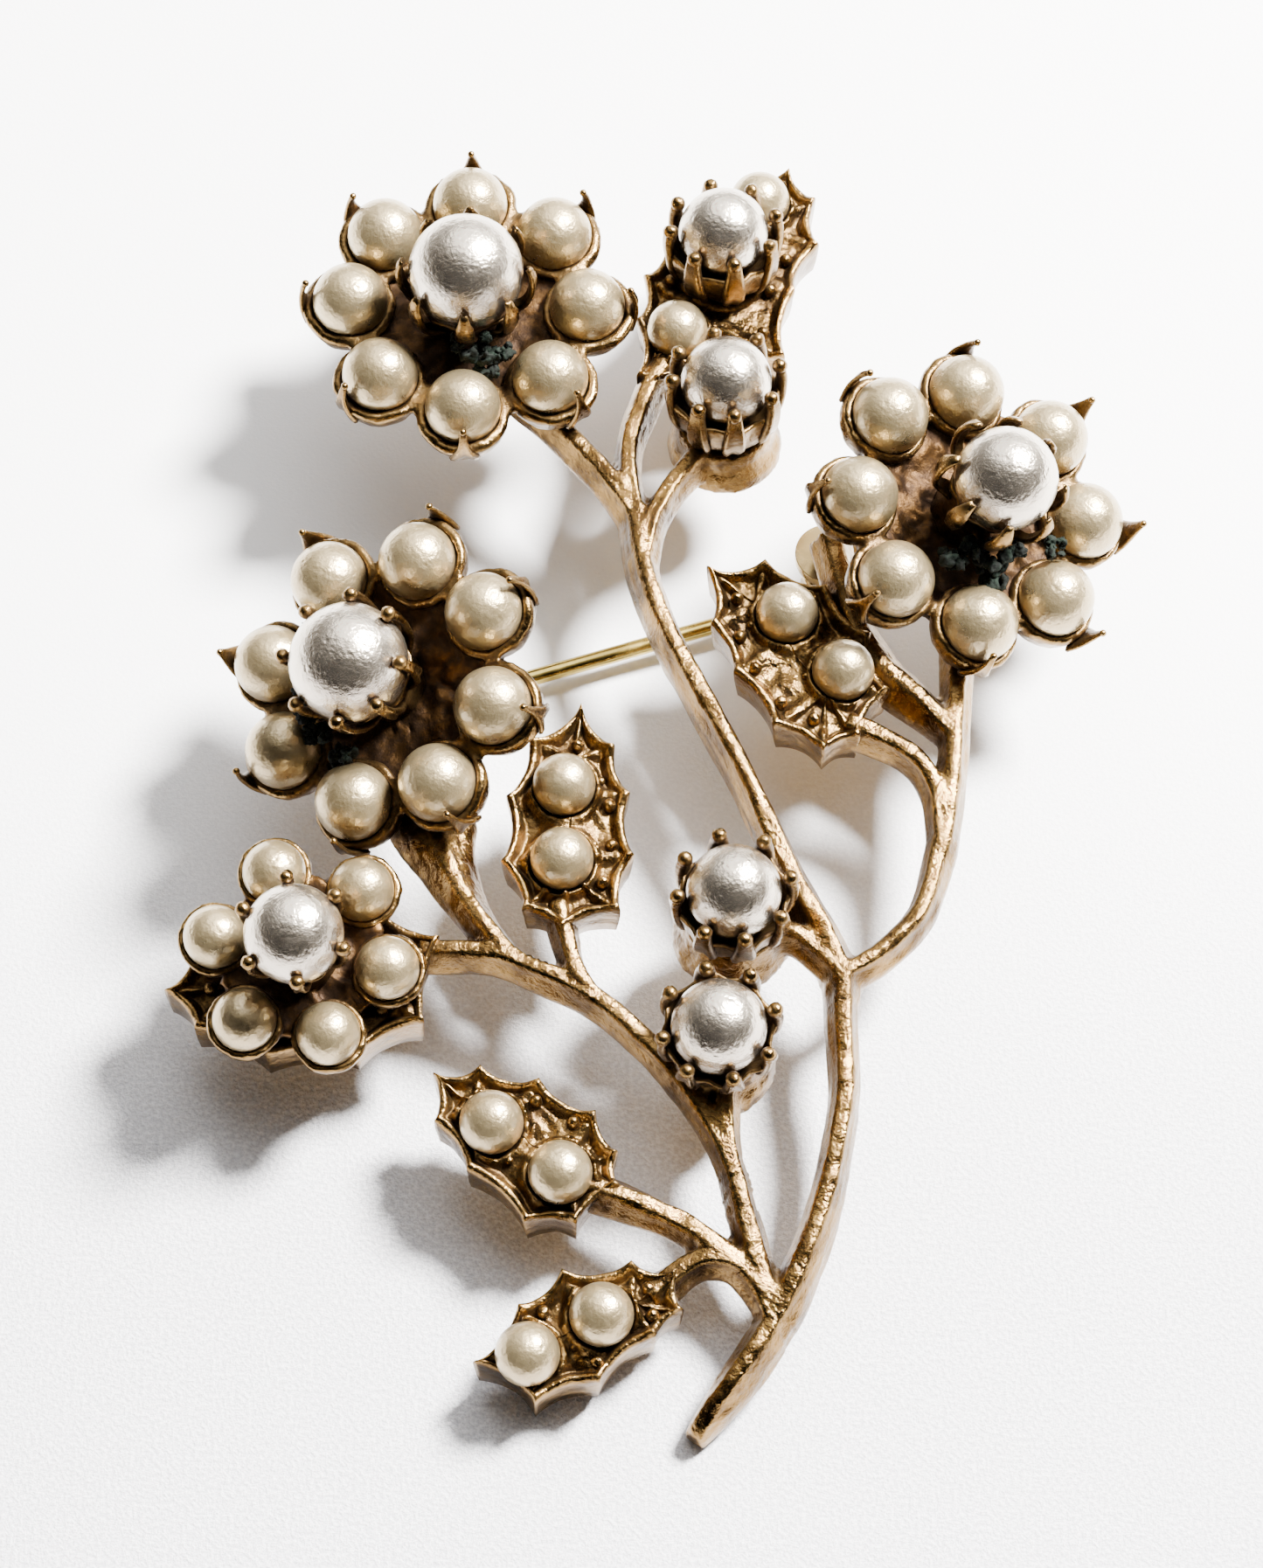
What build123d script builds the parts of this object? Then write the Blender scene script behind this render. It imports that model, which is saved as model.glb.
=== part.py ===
from build123d import *
from math import atan2, cos, hypot, radians, sin, sqrt
import os

# Floral spray brooch, lying face up on its own pin findings.
# +X runs across the spray, +Y along it towards the large top leaf, +Z up out of its face.
# All lengths are in millimetres. Plan positions below are measured from a point near the middle
# of the spray; finish() moves every piece so that the origin is exactly under the middle.

os.makedirs("parts", exist_ok=True)

middle_x, middle_y = 1.482, 2.175  # middle of the spray's bounding box, in the plan below

# --- the cast spray: stems and leaves, bent over a large sphere -----------------------------
cast_depth = 2.8
dome_radius = 200.0
dome_x, dome_y = 2.0, 15.0
tip_x, tip_y = 2.9, -33.6  # the free end of the stem, which rests on the table
cast_ceiling = 20.0  # the plan outlines are extruded this high, then cut to the dome

# Each stem is a row of (x, y, width) stations.
stems = {
    "main": [
        (2.9, -33.6, 1.5), (5.6, -30.2, 2.2), (7.8, -26.7, 2.3), (9.6, -22.3, 2.0), (10.8, -16.9, 1.7),
        (10.8, -12.4, 1.9), (10.6, -9.6, 2.2), (8.0, -4.2, 1.8), (5.8, 0.9, 1.7), (3.6, 5.4, 1.7),
        (1.7, 9.5, 1.8), (0.6, 13.2, 1.9), (0.2, 16.1, 2.0),
    ],
    "to_flower_1": [(0.2, 16.1, 2.0), (-1.5, 18.6, 1.8), (-3.7, 21.4, 2.0), (-6.2, 24.3, 2.4), (-8.8, 27.5, 3.0)],
    "to_leaf_a": [(0.2, 16.1, 1.8), (-0.2, 19.7, 1.6), (0.8, 23.6, 2.0), (2.2, 26.4, 2.0)],
    "to_bud_2": [(0.6, 13.2, 1.8), (1.3, 16.2, 1.7), (3.2, 19.2, 1.8), (5.2, 21.0, 2.0)],
    "right": [(10.6, -10.4, 1.8), (12.9, -8.9, 1.7), (15.0, -6.6, 1.7), (16.2, -2.8, 2.0)],
    "to_leaf_b": [(16.2, -2.8, 1.8), (15.8, 0.2, 1.6), (14.4, 2.2, 1.6), (12.0, 3.4, 2.0)],
    "to_flower_2": [(16.2, -2.8, 1.9), (16.8, 1.2, 1.8), (17.1, 5.2, 1.8), (17.3, 10.0, 2.2), (17.2, 14.9, 3.0)],
    "to_catch": [(16.8, 1.6, 1.6), (15.0, 5.2, 1.7), (13.0, 8.6, 1.9), (11.2, 12.0, 2.2), (10.6, 14.9, 2.4)],
    "to_bud_3": [(10.6, -9.8, 1.8), (8.2, -8.0, 1.7), (5.1, -8.0, 2.0)],
    "left": [
        (7.2, -28.0, 1.7), (6.4, -25.0, 1.9), (5.6, -22.3, 1.8), (4.9, -19.7, 1.7), (3.4, -17.0, 1.7),
        (0.8, -13.8, 1.7), (-1.9, -11.5, 1.8), (-4.6, -10.1, 1.8), (-7.3, -9.1, 1.6), (-11.0, -8.8, 2.0),
    ],
    "to_flower_3": [
        (-4.4, -10.2, 1.7), (-6.2, -9.2, 1.7), (-8.0, -7.2, 1.8), (-9.8, -4.3, 2.0), (-11.2, -0.8, 2.4),
        (-12.1, 5.4, 3.0),
    ],
    "to_leaf_c": [(-1.9, -11.5, 1.6), (-3.0, -9.6, 1.4), (-3.6, -7.2, 2.0)],
    "to_bud_4": [(5.6, -22.3, 1.7), (4.9, -19.0, 1.6), (4.7, -14.6, 2.0)],
    "to_leaf_d": [(7.2, -28.0, 1.6), (4.6, -24.4, 1.8), (2.1, -22.9, 1.8), (-1.6, -21.4, 2.4)],
    "to_leaf_e": [(7.0, -28.4, 1.6), (5.2, -26.3, 1.7), (3.6, -25.4, 1.7), (1.4, -26.6, 2.4)],
}

# Each leaf is its tooth tips, clockwise from where the stem joins. Hollow arcs run between them.
leaves = {
    "a": [
        (1.3, 24.1), (0.3, 24.4), (0.3, 28.1), (0.7, 31.1), (1.9, 33.2), (4.6, 37.0), (8.8, 38.7), (10.2, 36.6),
        (10.3, 33.4), (8.9, 30.2), (8.3, 25.8), (4.4, 24.6),
    ],
    "b": [
        (11.9, 2.6), (10.0, 1.8), (7.4, 3.2), (5.4, 6.2), (4.2, 9.0), (4.0, 12.4), (7.1, 12.9), (10.4, 11.4),
        (12.6, 8.6), (13.5, 5.4),
    ],
    "c": [
        (-3.6, -8.1), (-5.6, -7.0), (-6.7, -4.4), (-6.5, -0.8), (-5.3, 2.4), (-2.6, 4.4), (-0.9, 2.0),
        (-0.1, -0.7), (0.1, -4.1), (-0.6, -7.1),
    ],
    "d": [
        (-0.6, -21.5), (-2.8, -23.4), (-5.4, -23.3), (-8.3, -20.6), (-10.0, -18.1), (-10.1, -15.6),
        (-7.7, -15.3), (-4.7, -16.0), (-1.8, -17.7), (-0.7, -19.8),
    ],
    "e": [
        (2.3, -25.7), (2.6, -27.7), (1.2, -29.0), (-1.6, -31.2), (-4.8, -32.2), (-7.9, -30.2), (-5.7, -27.4),
        (-3.5, -25.7), (0.0, -25.3),
    ],
    "f": [
        (-9.9, -8.4), (-10.6, -12.9), (-14.0, -14.4), (-18.6, -14.4), (-22.4, -12.8), (-24.0, -10.7),
        (-22.4, -8.2), (-18.0, -6.2), (-13.6, -6.2),
    ],
}
tooth_hollow = 0.35  # how far the arcs between teeth bend inwards
recess_depth = 0.9
recess_scale = 0.78  # outline of the sunken floor against the leaf's outline

leaf_pearl_radius = 1.65
leaf_pearl_rise = 0.3  # centre of a leaf pearl above the leaf's rim
leaf_pearls = {
    "a": [(2.5, 27.3), (7.1, 36.2)],
    "b": [(8.2, 9.6), (11.1, 6.3)],
    "c": [(-3.5, -0.3), (-3.6, -4.4)],
    "d": [(-7.1, -18.3), (-3.6, -20.9)],
    "e": [(-1.5, -28.0), (-5.2, -29.9)],
}

# --- flowers: petal rings, tilted outwards from the dome ------------------------------------
# centre of the petal ring, lean from vertical and its bearing, ring radius, height of the
# centre pearl over the ring, centre pearl radius, and the bearings of the petals
flowers = {
    1: ((-8.8, 27.5, 11.0), 1, 230, 6.4, 3.4, 3.1, (44, 90, 136, 177, 223, 268, 314, 359)),
    2: ((18.0, 14.6, 11.5), 22, 339, 6.5, 4.2, 2.75, (1, 45, 92, 136, 182, 226, 272, 316)),
    3: ((-12.9, 4.5, 11.0), 26, 212, 6.5, 4.2, 3.1, (29, 73, 119, 167, 210, 256, 299, 343)),
    4: ((-16.85, -9.9, 8.5), 11, 261, 4.5, 3.9, 2.55, (47, 109, 169, 231, 289, 349)),
}
petal_pearl_radius = {1: 2.05, 2: 2.05, 3: 2.05, 4: 1.65}
petal_claws = {1: True, 2: True, 3: True, 4: False}
centre_claws = {1: 8, 2: 8, 3: 8, 4: 6}
petal_wall = 0.42  # metal around a petal pearl
plate_floor = 0.45  # metal under a petal pearl
petal_rim_drop = 0.25  # rim of a petal cup below its pearl's centre
plate_thickness = 1.2
post_radius = 1.8
post_root = 1.1  # how deep a post runs into the casting
notch_height = 6.0  # the casting is cut away this high over each foot

# --- buds: one pearl each in a claw cup -------------------------------------------------------
# centre of the pearl, and the lean of the cup and its bearing
buds = {
    1: ((5.0, 31.9, 11.4), 8, 90),
    2: ((5.05, 22.1, 11.9), 8, 90),
    3: ((5.2, -7.6, 10.9), 4, 270),
    4: ((4.4, -14.7, 10.0), 12, 270),
}
bud_pearl_radius = 2.45
bud_claws = 8
bud_cup_depth = 3.3  # from the pearl's centre down to the cup's foot
pad_radius = 2.7
notch_margin = 0.2  # room cut round a bud's foot

# --- claws and seats ---------------------------------------------------------------------------
claw_radius = 0.27
claw_bead_radius = 0.34
claw_rise = 0.9  # top of a claw over its pearl's centre
claw_gap = 0.03  # between a claw and its pearl's seat
claw_root = 0.4  # how deep a claw runs into its cup
petal_claw_start = 0.4  # foot of a petal claw above the plate's underside
cup_foot_radius = 1.6
cup_rim_drop = 0.9  # rim of a claw cup below its pearl's centre
cup_rim_inset = 0.05  # rim of a claw cup inside the ring of its claws
seat_gap = 0.02  # glue line round a pearl
solder_gap = 0.01  # solder line under a cup, plate or finding
bead_radius = 0.4  # decorative beads in the corners of the leaves
bead_rise = 0.1  # centre of a bead above the sunken floor
bead_scale = 0.66  # ring of the beads against the leaf's outline
bead_gap = 0.15  # least distance from a bead to a pearl
bead_spacing = leaf_pearl_radius + bead_radius + bead_gap

# --- pin findings ------------------------------------------------------------------------------
pivot_x, pivot_y, pivot_z = -12.8, 7.4, 1.4
pin_bearing = 18.0  # direction of the pin, anticlockwise from +X
pin_radius = 0.45
pin_taper_start = 21.6
pin_length = 26.4
pin_point_radius = 0.1
knuckle_radius = 1.1
knuckle_width = 1.0
neck_radius = 0.52  # the wire tapers down from this inside the knuckle
neck_start = 0.2
neck_end = 1.7
rivet_radius = 0.35
rivet_clearance = 0.05
rivet_head_radius = 0.62
rivet_head_height = 0.25
cheek_gap = 0.05  # between the knuckle and each cheek
cheek_thickness = 0.5
cheek_radius = pivot_z  # the cheeks' round ends touch the table
cheek_neck = 2.6  # width of the cheeks where they meet their pad
finding_pad_radius = 1.8
finding_pad_height = 0.6
finding_pad_margin = 0.3  # casting left round a finding's pad
catch_distance = 24.6  # from the pivot to the middle of the catch
catch_width = 1.4
catch_bore_radius = 0.95
catch_mouth_angle = 64.0
catch_outer_radius = pivot_z / cos(radians(catch_mouth_angle / 2))  # its two lips touch the table
catch_neck_width = 1.5
rotor_radius = 0.92
rotor_bore_radius = 0.6
rotor_slot = 1.0
rotor_end_gap = 0.05
rotor_collar = 0.3
rotor_collar_radius = 1.25
lever_thickness = 0.45
lever_reach = 2.3
lever_width = 0.9
lever_bearing = 20.0

inner_radius = dome_radius - cast_depth
dome_z = -sqrt(inner_radius**2 - (tip_x - dome_x) ** 2 - (tip_y - dome_y) ** 2)


def dome_height(x, y, radius):
    """Height of the sphere of this radius about the dome's centre."""
    return dome_z + sqrt(radius**2 - (x - dome_x) ** 2 - (y - dome_y) ** 2)


def cast_top(x, y):
    return dome_height(x, y, dome_radius)


def cast_underside(x, y):
    return dome_height(x, y, inner_radius)


def leaning_plane(centre, lean, bearing):
    """A plane whose normal leans from +Z by lean degrees, towards a compass bearing."""
    tilt = radians(lean)
    turn = radians(bearing)
    normal = Vector(sin(tilt) * cos(turn), sin(tilt) * sin(turn), cos(tilt))
    across = Vector(1, 0, 0) - normal * normal.X
    return Plane(origin=centre, x_dir=across, z_dir=normal)


def strip_face(stations):
    """A tapering stem with smooth sides and round ends."""
    left = []
    right = []
    last = len(stations) - 1
    for i, (x, y, width) in enumerate(stations):
        before = stations[max(i - 1, 0)]
        after = stations[min(i + 1, last)]
        turn = atan2(after[1] - before[1], after[0] - before[0])
        left.append((x - width / 2 * sin(turn), y + width / 2 * cos(turn)))
        right.append((x + width / 2 * sin(turn), y - width / 2 * cos(turn)))
    with BuildSketch() as strip:
        with BuildLine():
            Spline(*left)
            Spline(*right)
            Line(left[0], right[0])
            Line(left[-1], right[-1])
        make_face()
        for x, y, width in (stations[0], stations[-1]):
            with Locations((x, y)):
                Circle(width / 2)
    return strip.sketch


def scaled(points, factor):
    """The outline scaled about the mean of its points."""
    middle_x = sum(x for x, y in points) / len(points)
    middle_y = sum(y for x, y in points) / len(points)
    return [(middle_x + factor * (x - middle_x), middle_y + factor * (y - middle_y)) for x, y in points]


def leaf_face(points, hollow):
    """A leaf outline: teeth joined by arcs that bend inwards."""
    with BuildSketch() as leaf:
        with BuildLine():
            for start, end in zip(points, points[1:] + points[:1]):
                SagittaArc(start, end, -hollow)
        make_face()
    return leaf.sketch


def dome_ball(radius):
    """A ball about the dome's centre, for cutting parts to the dome."""
    return Pos(dome_x, dome_y, dome_z) * Sphere(radius)


def finish(part, name):
    """Move a piece to the origin in the middle of the spray, label it and write it."""
    part.move(Location((-middle_x, -middle_y, 0)))
    part.label = name
    export_step(part, f"parts/{name}.step")


# --- the casting ---------------------------------------------------------------------------------
flower_planes = {n: leaning_plane(f[0], f[1], f[2]) for n, f in flowers.items()}
plate_bottom = {n: petal_pearl_radius[n] + plate_floor for n in flowers}
bud_planes = {n: leaning_plane(*b) for n, b in buds.items()}
pin_turn = radians(pin_bearing)
catch_x = pivot_x + catch_distance * cos(pin_turn)
catch_y = pivot_y + catch_distance * sin(pin_turn)

outer_ball = dome_ball(dome_radius)
inner_ball = dome_ball(inner_radius)
floor_ball = dome_ball(dome_radius - recess_depth)

with BuildPart() as leaf_floors:
    for outline in leaves.values():
        with BuildSketch():
            add(leaf_face(scaled(outline, recess_scale), tooth_hollow * recess_scale))
        extrude(amount=cast_ceiling)
    add(floor_ball, mode=Mode.SUBTRACT)

with BuildPart() as spray_frame:
    with BuildSketch():
        for stations in stems.values():
            add(strip_face(stations))
        for outline in leaves.values():
            add(leaf_face(outline, tooth_hollow))
        for plane in flower_planes.values():
            with Locations((plane.origin.X, plane.origin.Y)):
                Circle(pad_radius)
        for plane in bud_planes.values():
            with Locations((plane.origin.X, plane.origin.Y)):
                Circle(pad_radius)
        with Locations((pivot_x, pivot_y), (catch_x, catch_y)):
            Circle(finding_pad_radius + finding_pad_margin)
    extrude(amount=cast_ceiling)
    add(outer_ball, mode=Mode.INTERSECT)
    add(inner_ball, mode=Mode.SUBTRACT)
    add(leaf_floors.part, mode=Mode.SUBTRACT)
    # flats cut for the flowers and the bud cups, and the posts that carry them
    for n, plane in flower_planes.items():
        foot = plane.offset(-plate_bottom[n] - solder_gap)
        with BuildSketch(foot):
            Circle(flowers[n][3] + petal_pearl_radius[n] + 2 * petal_wall)
        extrude(amount=notch_height, mode=Mode.SUBTRACT)
        depth = foot.origin.Z - cast_top(foot.origin.X, foot.origin.Y) + post_root
        with BuildSketch(foot):
            Circle(post_radius)
        extrude(amount=-depth)
    for plane in bud_planes.values():
        foot = plane.offset(-bud_cup_depth - solder_gap)
        with BuildSketch(foot):
            Circle(pad_radius + notch_margin)
        extrude(amount=notch_height, mode=Mode.SUBTRACT)
        depth = foot.origin.Z - cast_top(foot.origin.X, foot.origin.Y) + post_root
        with BuildSketch(foot):
            Circle(cup_foot_radius)
        extrude(amount=-depth)
    # small beads in the leaves, and seats for the leaf pearls
    for name, pearls in leaf_pearls.items():
        for x, y in scaled(leaves[name], bead_scale)[1::2]:
            if min(hypot(x - pearl_x, y - pearl_y) for pearl_x, pearl_y in pearls) > bead_spacing:
                with Locations((x, y, cast_top(x, y) - recess_depth + bead_rise)):
                    Sphere(bead_radius)
        for x, y in pearls:
            with Locations((x, y, cast_top(x, y) + leaf_pearl_rise)):
                Sphere(leaf_pearl_radius + seat_gap, mode=Mode.SUBTRACT)
    split(bisect_by=Plane.XY, keep=Keep.TOP)
finish(spray_frame.part, "spray_frame")

for name, pearls in leaf_pearls.items():
    with BuildPart() as pearl_pair:
        for x, y in pearls:
            with Locations((x, y, cast_top(x, y) + leaf_pearl_rise)):
                Sphere(leaf_pearl_radius)
    finish(pearl_pair.part, f"leaf_{name}_pearls")


# --- claw cups ----------------------------------------------------------------------------------
def make_claw_cup(plane, pearl_radius, foot_depth, claws):
    """A conical cup with bead-tipped claws about the pearl that is centred on the plane."""
    seat_radius = pearl_radius + seat_gap
    claw_ring = seat_radius + claw_radius + claw_gap
    rim_radius = claw_ring - cup_rim_inset
    side = Plane(origin=plane.origin, x_dir=plane.x_dir, z_dir=-plane.y_dir)
    claw_length = cup_rim_drop + claw_rise + claw_root
    with BuildPart(plane) as cup:
        with BuildSketch(side):
            with BuildLine():
                Polyline(
                    (0, -foot_depth),
                    (cup_foot_radius, -foot_depth),
                    (rim_radius, -cup_rim_drop),
                    (0, -cup_rim_drop),
                    close=True,
                )
            make_face()
        revolve(axis=Axis(plane.origin, plane.z_dir))
        with PolarLocations(claw_ring, claws):
            with Locations((0, 0, claw_rise - claw_length / 2)):
                Cylinder(claw_radius, claw_length)
            with Locations((0, 0, claw_rise)):
                Sphere(claw_bead_radius)
        Sphere(seat_radius, mode=Mode.SUBTRACT)
    return cup.part


def make_pearl(plane, radius):
    with BuildPart(plane) as pearl:
        Sphere(radius)
    return pearl.part


for n, plane in bud_planes.items():
    finish(make_claw_cup(plane, bud_pearl_radius, bud_cup_depth, bud_claws), f"bud_{n}_cup")
    finish(make_pearl(plane, bud_pearl_radius), f"bud_{n}_pearl")


# --- flowers --------------------------------------------------------------------------------------
def make_plate(plane, ring_radius, pearl_radius, bearings, bottom, claws):
    """A disc with a scalloped rim of pearl cups, each with an outer claw."""
    cup_radius = pearl_radius + petal_wall
    claw_offset = ring_radius + pearl_radius + seat_gap + claw_radius + claw_gap
    claw_length = bottom - petal_claw_start + claw_rise
    spots = [(ring_radius * cos(radians(b)), ring_radius * sin(radians(b))) for b in bearings]
    claw_spots = [(claw_offset * cos(radians(b)), claw_offset * sin(radians(b))) for b in bearings]
    with BuildPart(plane) as plate:
        with BuildSketch(plane.offset(-bottom)):
            Circle(ring_radius)
        extrude(amount=plate_thickness)
        with BuildSketch(plane.offset(-bottom)):
            with Locations(*spots):
                Circle(cup_radius)
        extrude(amount=bottom - petal_rim_drop)
        if claws:
            for x, y in claw_spots:
                with Locations((x, y, claw_rise - claw_length / 2)):
                    Cylinder(claw_radius, claw_length)
                with Locations((x, y, claw_rise)):
                    Sphere(claw_bead_radius)
        with Locations(*[(x, y, 0) for x, y in spots]):
            Sphere(pearl_radius + seat_gap, mode=Mode.SUBTRACT)
    return plate.part


for n, (centre, lean, bearing, ring_radius, rise, centre_radius, bearings) in flowers.items():
    plane = flower_planes[n]
    pearl_radius = petal_pearl_radius[n]
    bottom = plate_bottom[n]
    plate = make_plate(plane, ring_radius, pearl_radius, bearings, bottom, petal_claws[n])
    finish(plate, f"flower_{n}_plate")
    centre_plane = plane.offset(rise)
    foot_depth = rise + bottom - plate_thickness - solder_gap
    centre_cup = make_claw_cup(centre_plane, centre_radius, foot_depth, centre_claws[n])
    finish(centre_cup, f"flower_{n}_centre_cup")
    finish(make_pearl(centre_plane, centre_radius), f"flower_{n}_centre_pearl")
    spots = [(ring_radius * cos(radians(b)), ring_radius * sin(radians(b)), 0) for b in bearings]
    if petal_claws[n]:
        for i, spot in enumerate(spots, start=1):
            with BuildPart(plane) as petal_pearl:
                with Locations(spot):
                    Sphere(pearl_radius)
            finish(petal_pearl.part, f"flower_{n}_petal_pearl_{i}")
    else:
        with BuildPart(plane) as petal_pearls:
            with Locations(*spots):
                Sphere(pearl_radius)
        finish(petal_pearls.part, f"flower_{n}_petal_pearls")

# --- pin, hinge and safety catch ------------------------------------------------------------------
pin_direction = Vector(cos(pin_turn), sin(pin_turn), 0)
hinge_direction = Vector(-sin(pin_turn), cos(pin_turn), 0)
pivot = Vector(pivot_x, pivot_y, pivot_z)
# seen from the side: sketch x along the pin, sketch y up, normal back along the rivet
side_plane = Plane(origin=pivot, x_dir=pin_direction, z_dir=-hinge_direction)
cheek_inner = knuckle_width / 2 + cheek_gap
cheek_outer = cheek_inner + cheek_thickness
hinge_pad_z = cast_underside(pivot_x, pivot_y) - finding_pad_height
catch_pad_z = cast_underside(catch_x, catch_y) - finding_pad_height
solder_ball = dome_ball(inner_radius - solder_gap)

with BuildPart() as hinge_bracket:
    for side in (1, -1):
        with BuildSketch(side_plane.offset(side * cheek_inner)):
            Circle(cheek_radius)
            with Locations((0, (hinge_pad_z - pivot_z) / 2)):
                Rectangle(cheek_neck, hinge_pad_z - pivot_z)
        extrude(amount=side * cheek_thickness)
    with BuildSketch(Plane.XY.offset(hinge_pad_z)):
        with Locations((pivot_x, pivot_y)):
            Circle(finding_pad_radius)
    extrude(amount=2 * finding_pad_height)
    with BuildSketch(side_plane.offset(-cheek_outer)):
        Circle(rivet_radius + solder_gap)
    extrude(amount=2 * cheek_outer, mode=Mode.SUBTRACT)
    add(solder_ball, mode=Mode.INTERSECT)
finish(hinge_bracket.part, "hinge_bracket")

with BuildPart() as hinge_rivet:
    with BuildSketch(side_plane.offset(-cheek_outer - solder_gap)):
        Circle(rivet_radius)
    extrude(amount=2 * (cheek_outer + solder_gap))
    for side in (1, -1):
        with BuildSketch(side_plane.offset(side * (cheek_outer + solder_gap))):
            Circle(rivet_head_radius)
        extrude(amount=side * rivet_head_height)
finish(hinge_rivet.part, "hinge_rivet")

with BuildPart() as pin_stem:
    with BuildSketch(side_plane.offset(-knuckle_width / 2)):
        Circle(knuckle_radius)
    extrude(amount=knuckle_width)
    with BuildSketch(side_plane):
        with BuildLine():
            Polyline(
                (neck_start, 0),
                (neck_start, neck_radius),
                (neck_end, pin_radius),
                (pin_taper_start, pin_radius),
                (pin_length, pin_point_radius),
                (pin_length, 0),
                close=True,
            )
        make_face()
    revolve(axis=Axis(pivot, pin_direction))
    with BuildSketch(side_plane.offset(-knuckle_width / 2)):
        Circle(rivet_radius + rivet_clearance)
    extrude(amount=knuckle_width, mode=Mode.SUBTRACT)
finish(pin_stem.part, "pin_stem")

# seen along the pin: sketch x to the side, sketch y up
catch_plane = Plane(
    origin=pivot + pin_direction * (catch_distance - catch_width / 2),
    x_dir=hinge_direction,
    z_dir=pin_direction,
)
mouth_reach = 3.0  # the mouth's wedge is cut this far out, past the ring
mouth_half = mouth_reach * sin(radians(catch_mouth_angle / 2))
mouth_drop = mouth_reach * cos(radians(catch_mouth_angle / 2))

with BuildPart() as catch_body:
    with BuildSketch(catch_plane):
        Circle(catch_outer_radius)
        with Locations((0, (catch_pad_z - pivot_z) / 2)):
            Rectangle(catch_neck_width, catch_pad_z - pivot_z)
        Circle(catch_bore_radius, mode=Mode.SUBTRACT)
        with BuildLine():
            Polyline((0, 0), (mouth_half, -mouth_drop), (-mouth_half, -mouth_drop), close=True)
        make_face(mode=Mode.SUBTRACT)
    extrude(amount=catch_width)
    with BuildSketch(Plane.XY.offset(catch_pad_z)):
        with Locations((catch_x, catch_y)):
            Circle(finding_pad_radius)
    extrude(amount=2 * finding_pad_height)
    add(solder_ball, mode=Mode.INTERSECT)
finish(catch_body.part, "catch_body")


def c_ring(radius):
    """A ring about the pin, open at the bottom."""
    with BuildSketch() as ring:
        Circle(radius)
        Circle(rotor_bore_radius, mode=Mode.SUBTRACT)
        with Locations((0, -radius)):
            Rectangle(rotor_slot, 2 * radius, mode=Mode.SUBTRACT)
    return ring.sketch


with BuildPart() as catch_rotor:
    with BuildSketch(catch_plane.offset(-rotor_end_gap)):
        add(c_ring(rotor_radius))
    extrude(amount=catch_width + 2 * rotor_end_gap)
    with BuildSketch(catch_plane.offset(-rotor_end_gap)):
        add(c_ring(rotor_collar_radius))
    extrude(amount=-rotor_collar)
    with BuildSketch(catch_plane.offset(catch_width + rotor_end_gap)):
        add(c_ring(rotor_collar_radius))
        with Locations(Location((0, 0), lever_bearing)):
            with Locations(((lever_reach + rotor_radius) / 2, 0)):
                Rectangle(lever_reach - rotor_radius, lever_width)
    extrude(amount=lever_thickness)
finish(catch_rotor.part, "catch_rotor")
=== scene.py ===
import math
import random
import bmesh
import bpy
import numpy as np
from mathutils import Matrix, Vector
from mathutils.kdtree import KDTree


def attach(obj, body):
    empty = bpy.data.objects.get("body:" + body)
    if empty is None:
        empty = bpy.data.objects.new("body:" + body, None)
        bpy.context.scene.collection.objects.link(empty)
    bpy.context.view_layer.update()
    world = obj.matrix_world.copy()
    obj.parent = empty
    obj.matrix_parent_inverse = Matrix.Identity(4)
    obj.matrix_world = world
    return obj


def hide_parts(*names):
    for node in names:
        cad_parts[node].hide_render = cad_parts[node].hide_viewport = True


# A flower spray brooch: cast stems and leaves, four flowers, four buds, faux pearls and a pin.
# Shapes are worked out in millimetres on the plan of part.py; place() moves them to the frame.
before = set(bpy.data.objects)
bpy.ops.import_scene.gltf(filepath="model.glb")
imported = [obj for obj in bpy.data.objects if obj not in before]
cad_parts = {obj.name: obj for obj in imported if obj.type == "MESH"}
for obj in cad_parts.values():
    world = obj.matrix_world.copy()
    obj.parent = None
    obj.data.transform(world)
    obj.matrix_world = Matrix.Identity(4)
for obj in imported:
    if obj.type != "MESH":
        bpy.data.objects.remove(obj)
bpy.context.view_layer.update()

MM = 0.001
PLAN_TO_FRAME = np.array([-1.482, -2.175, 0.0])
rng = random.Random(7)


# ---------------------------------------------------------------- numbers shared with part.py
CAST_DEPTH = 2.8
DOME_RADIUS = 200.0
DOME_XY = (2.0, 15.0)
TIP_XY = (2.9, -33.6)
INNER_RADIUS = DOME_RADIUS - CAST_DEPTH
DOME_Z = -math.sqrt(INNER_RADIUS**2 - (TIP_XY[0] - DOME_XY[0]) ** 2 - (TIP_XY[1] - DOME_XY[1]) ** 2)

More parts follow.
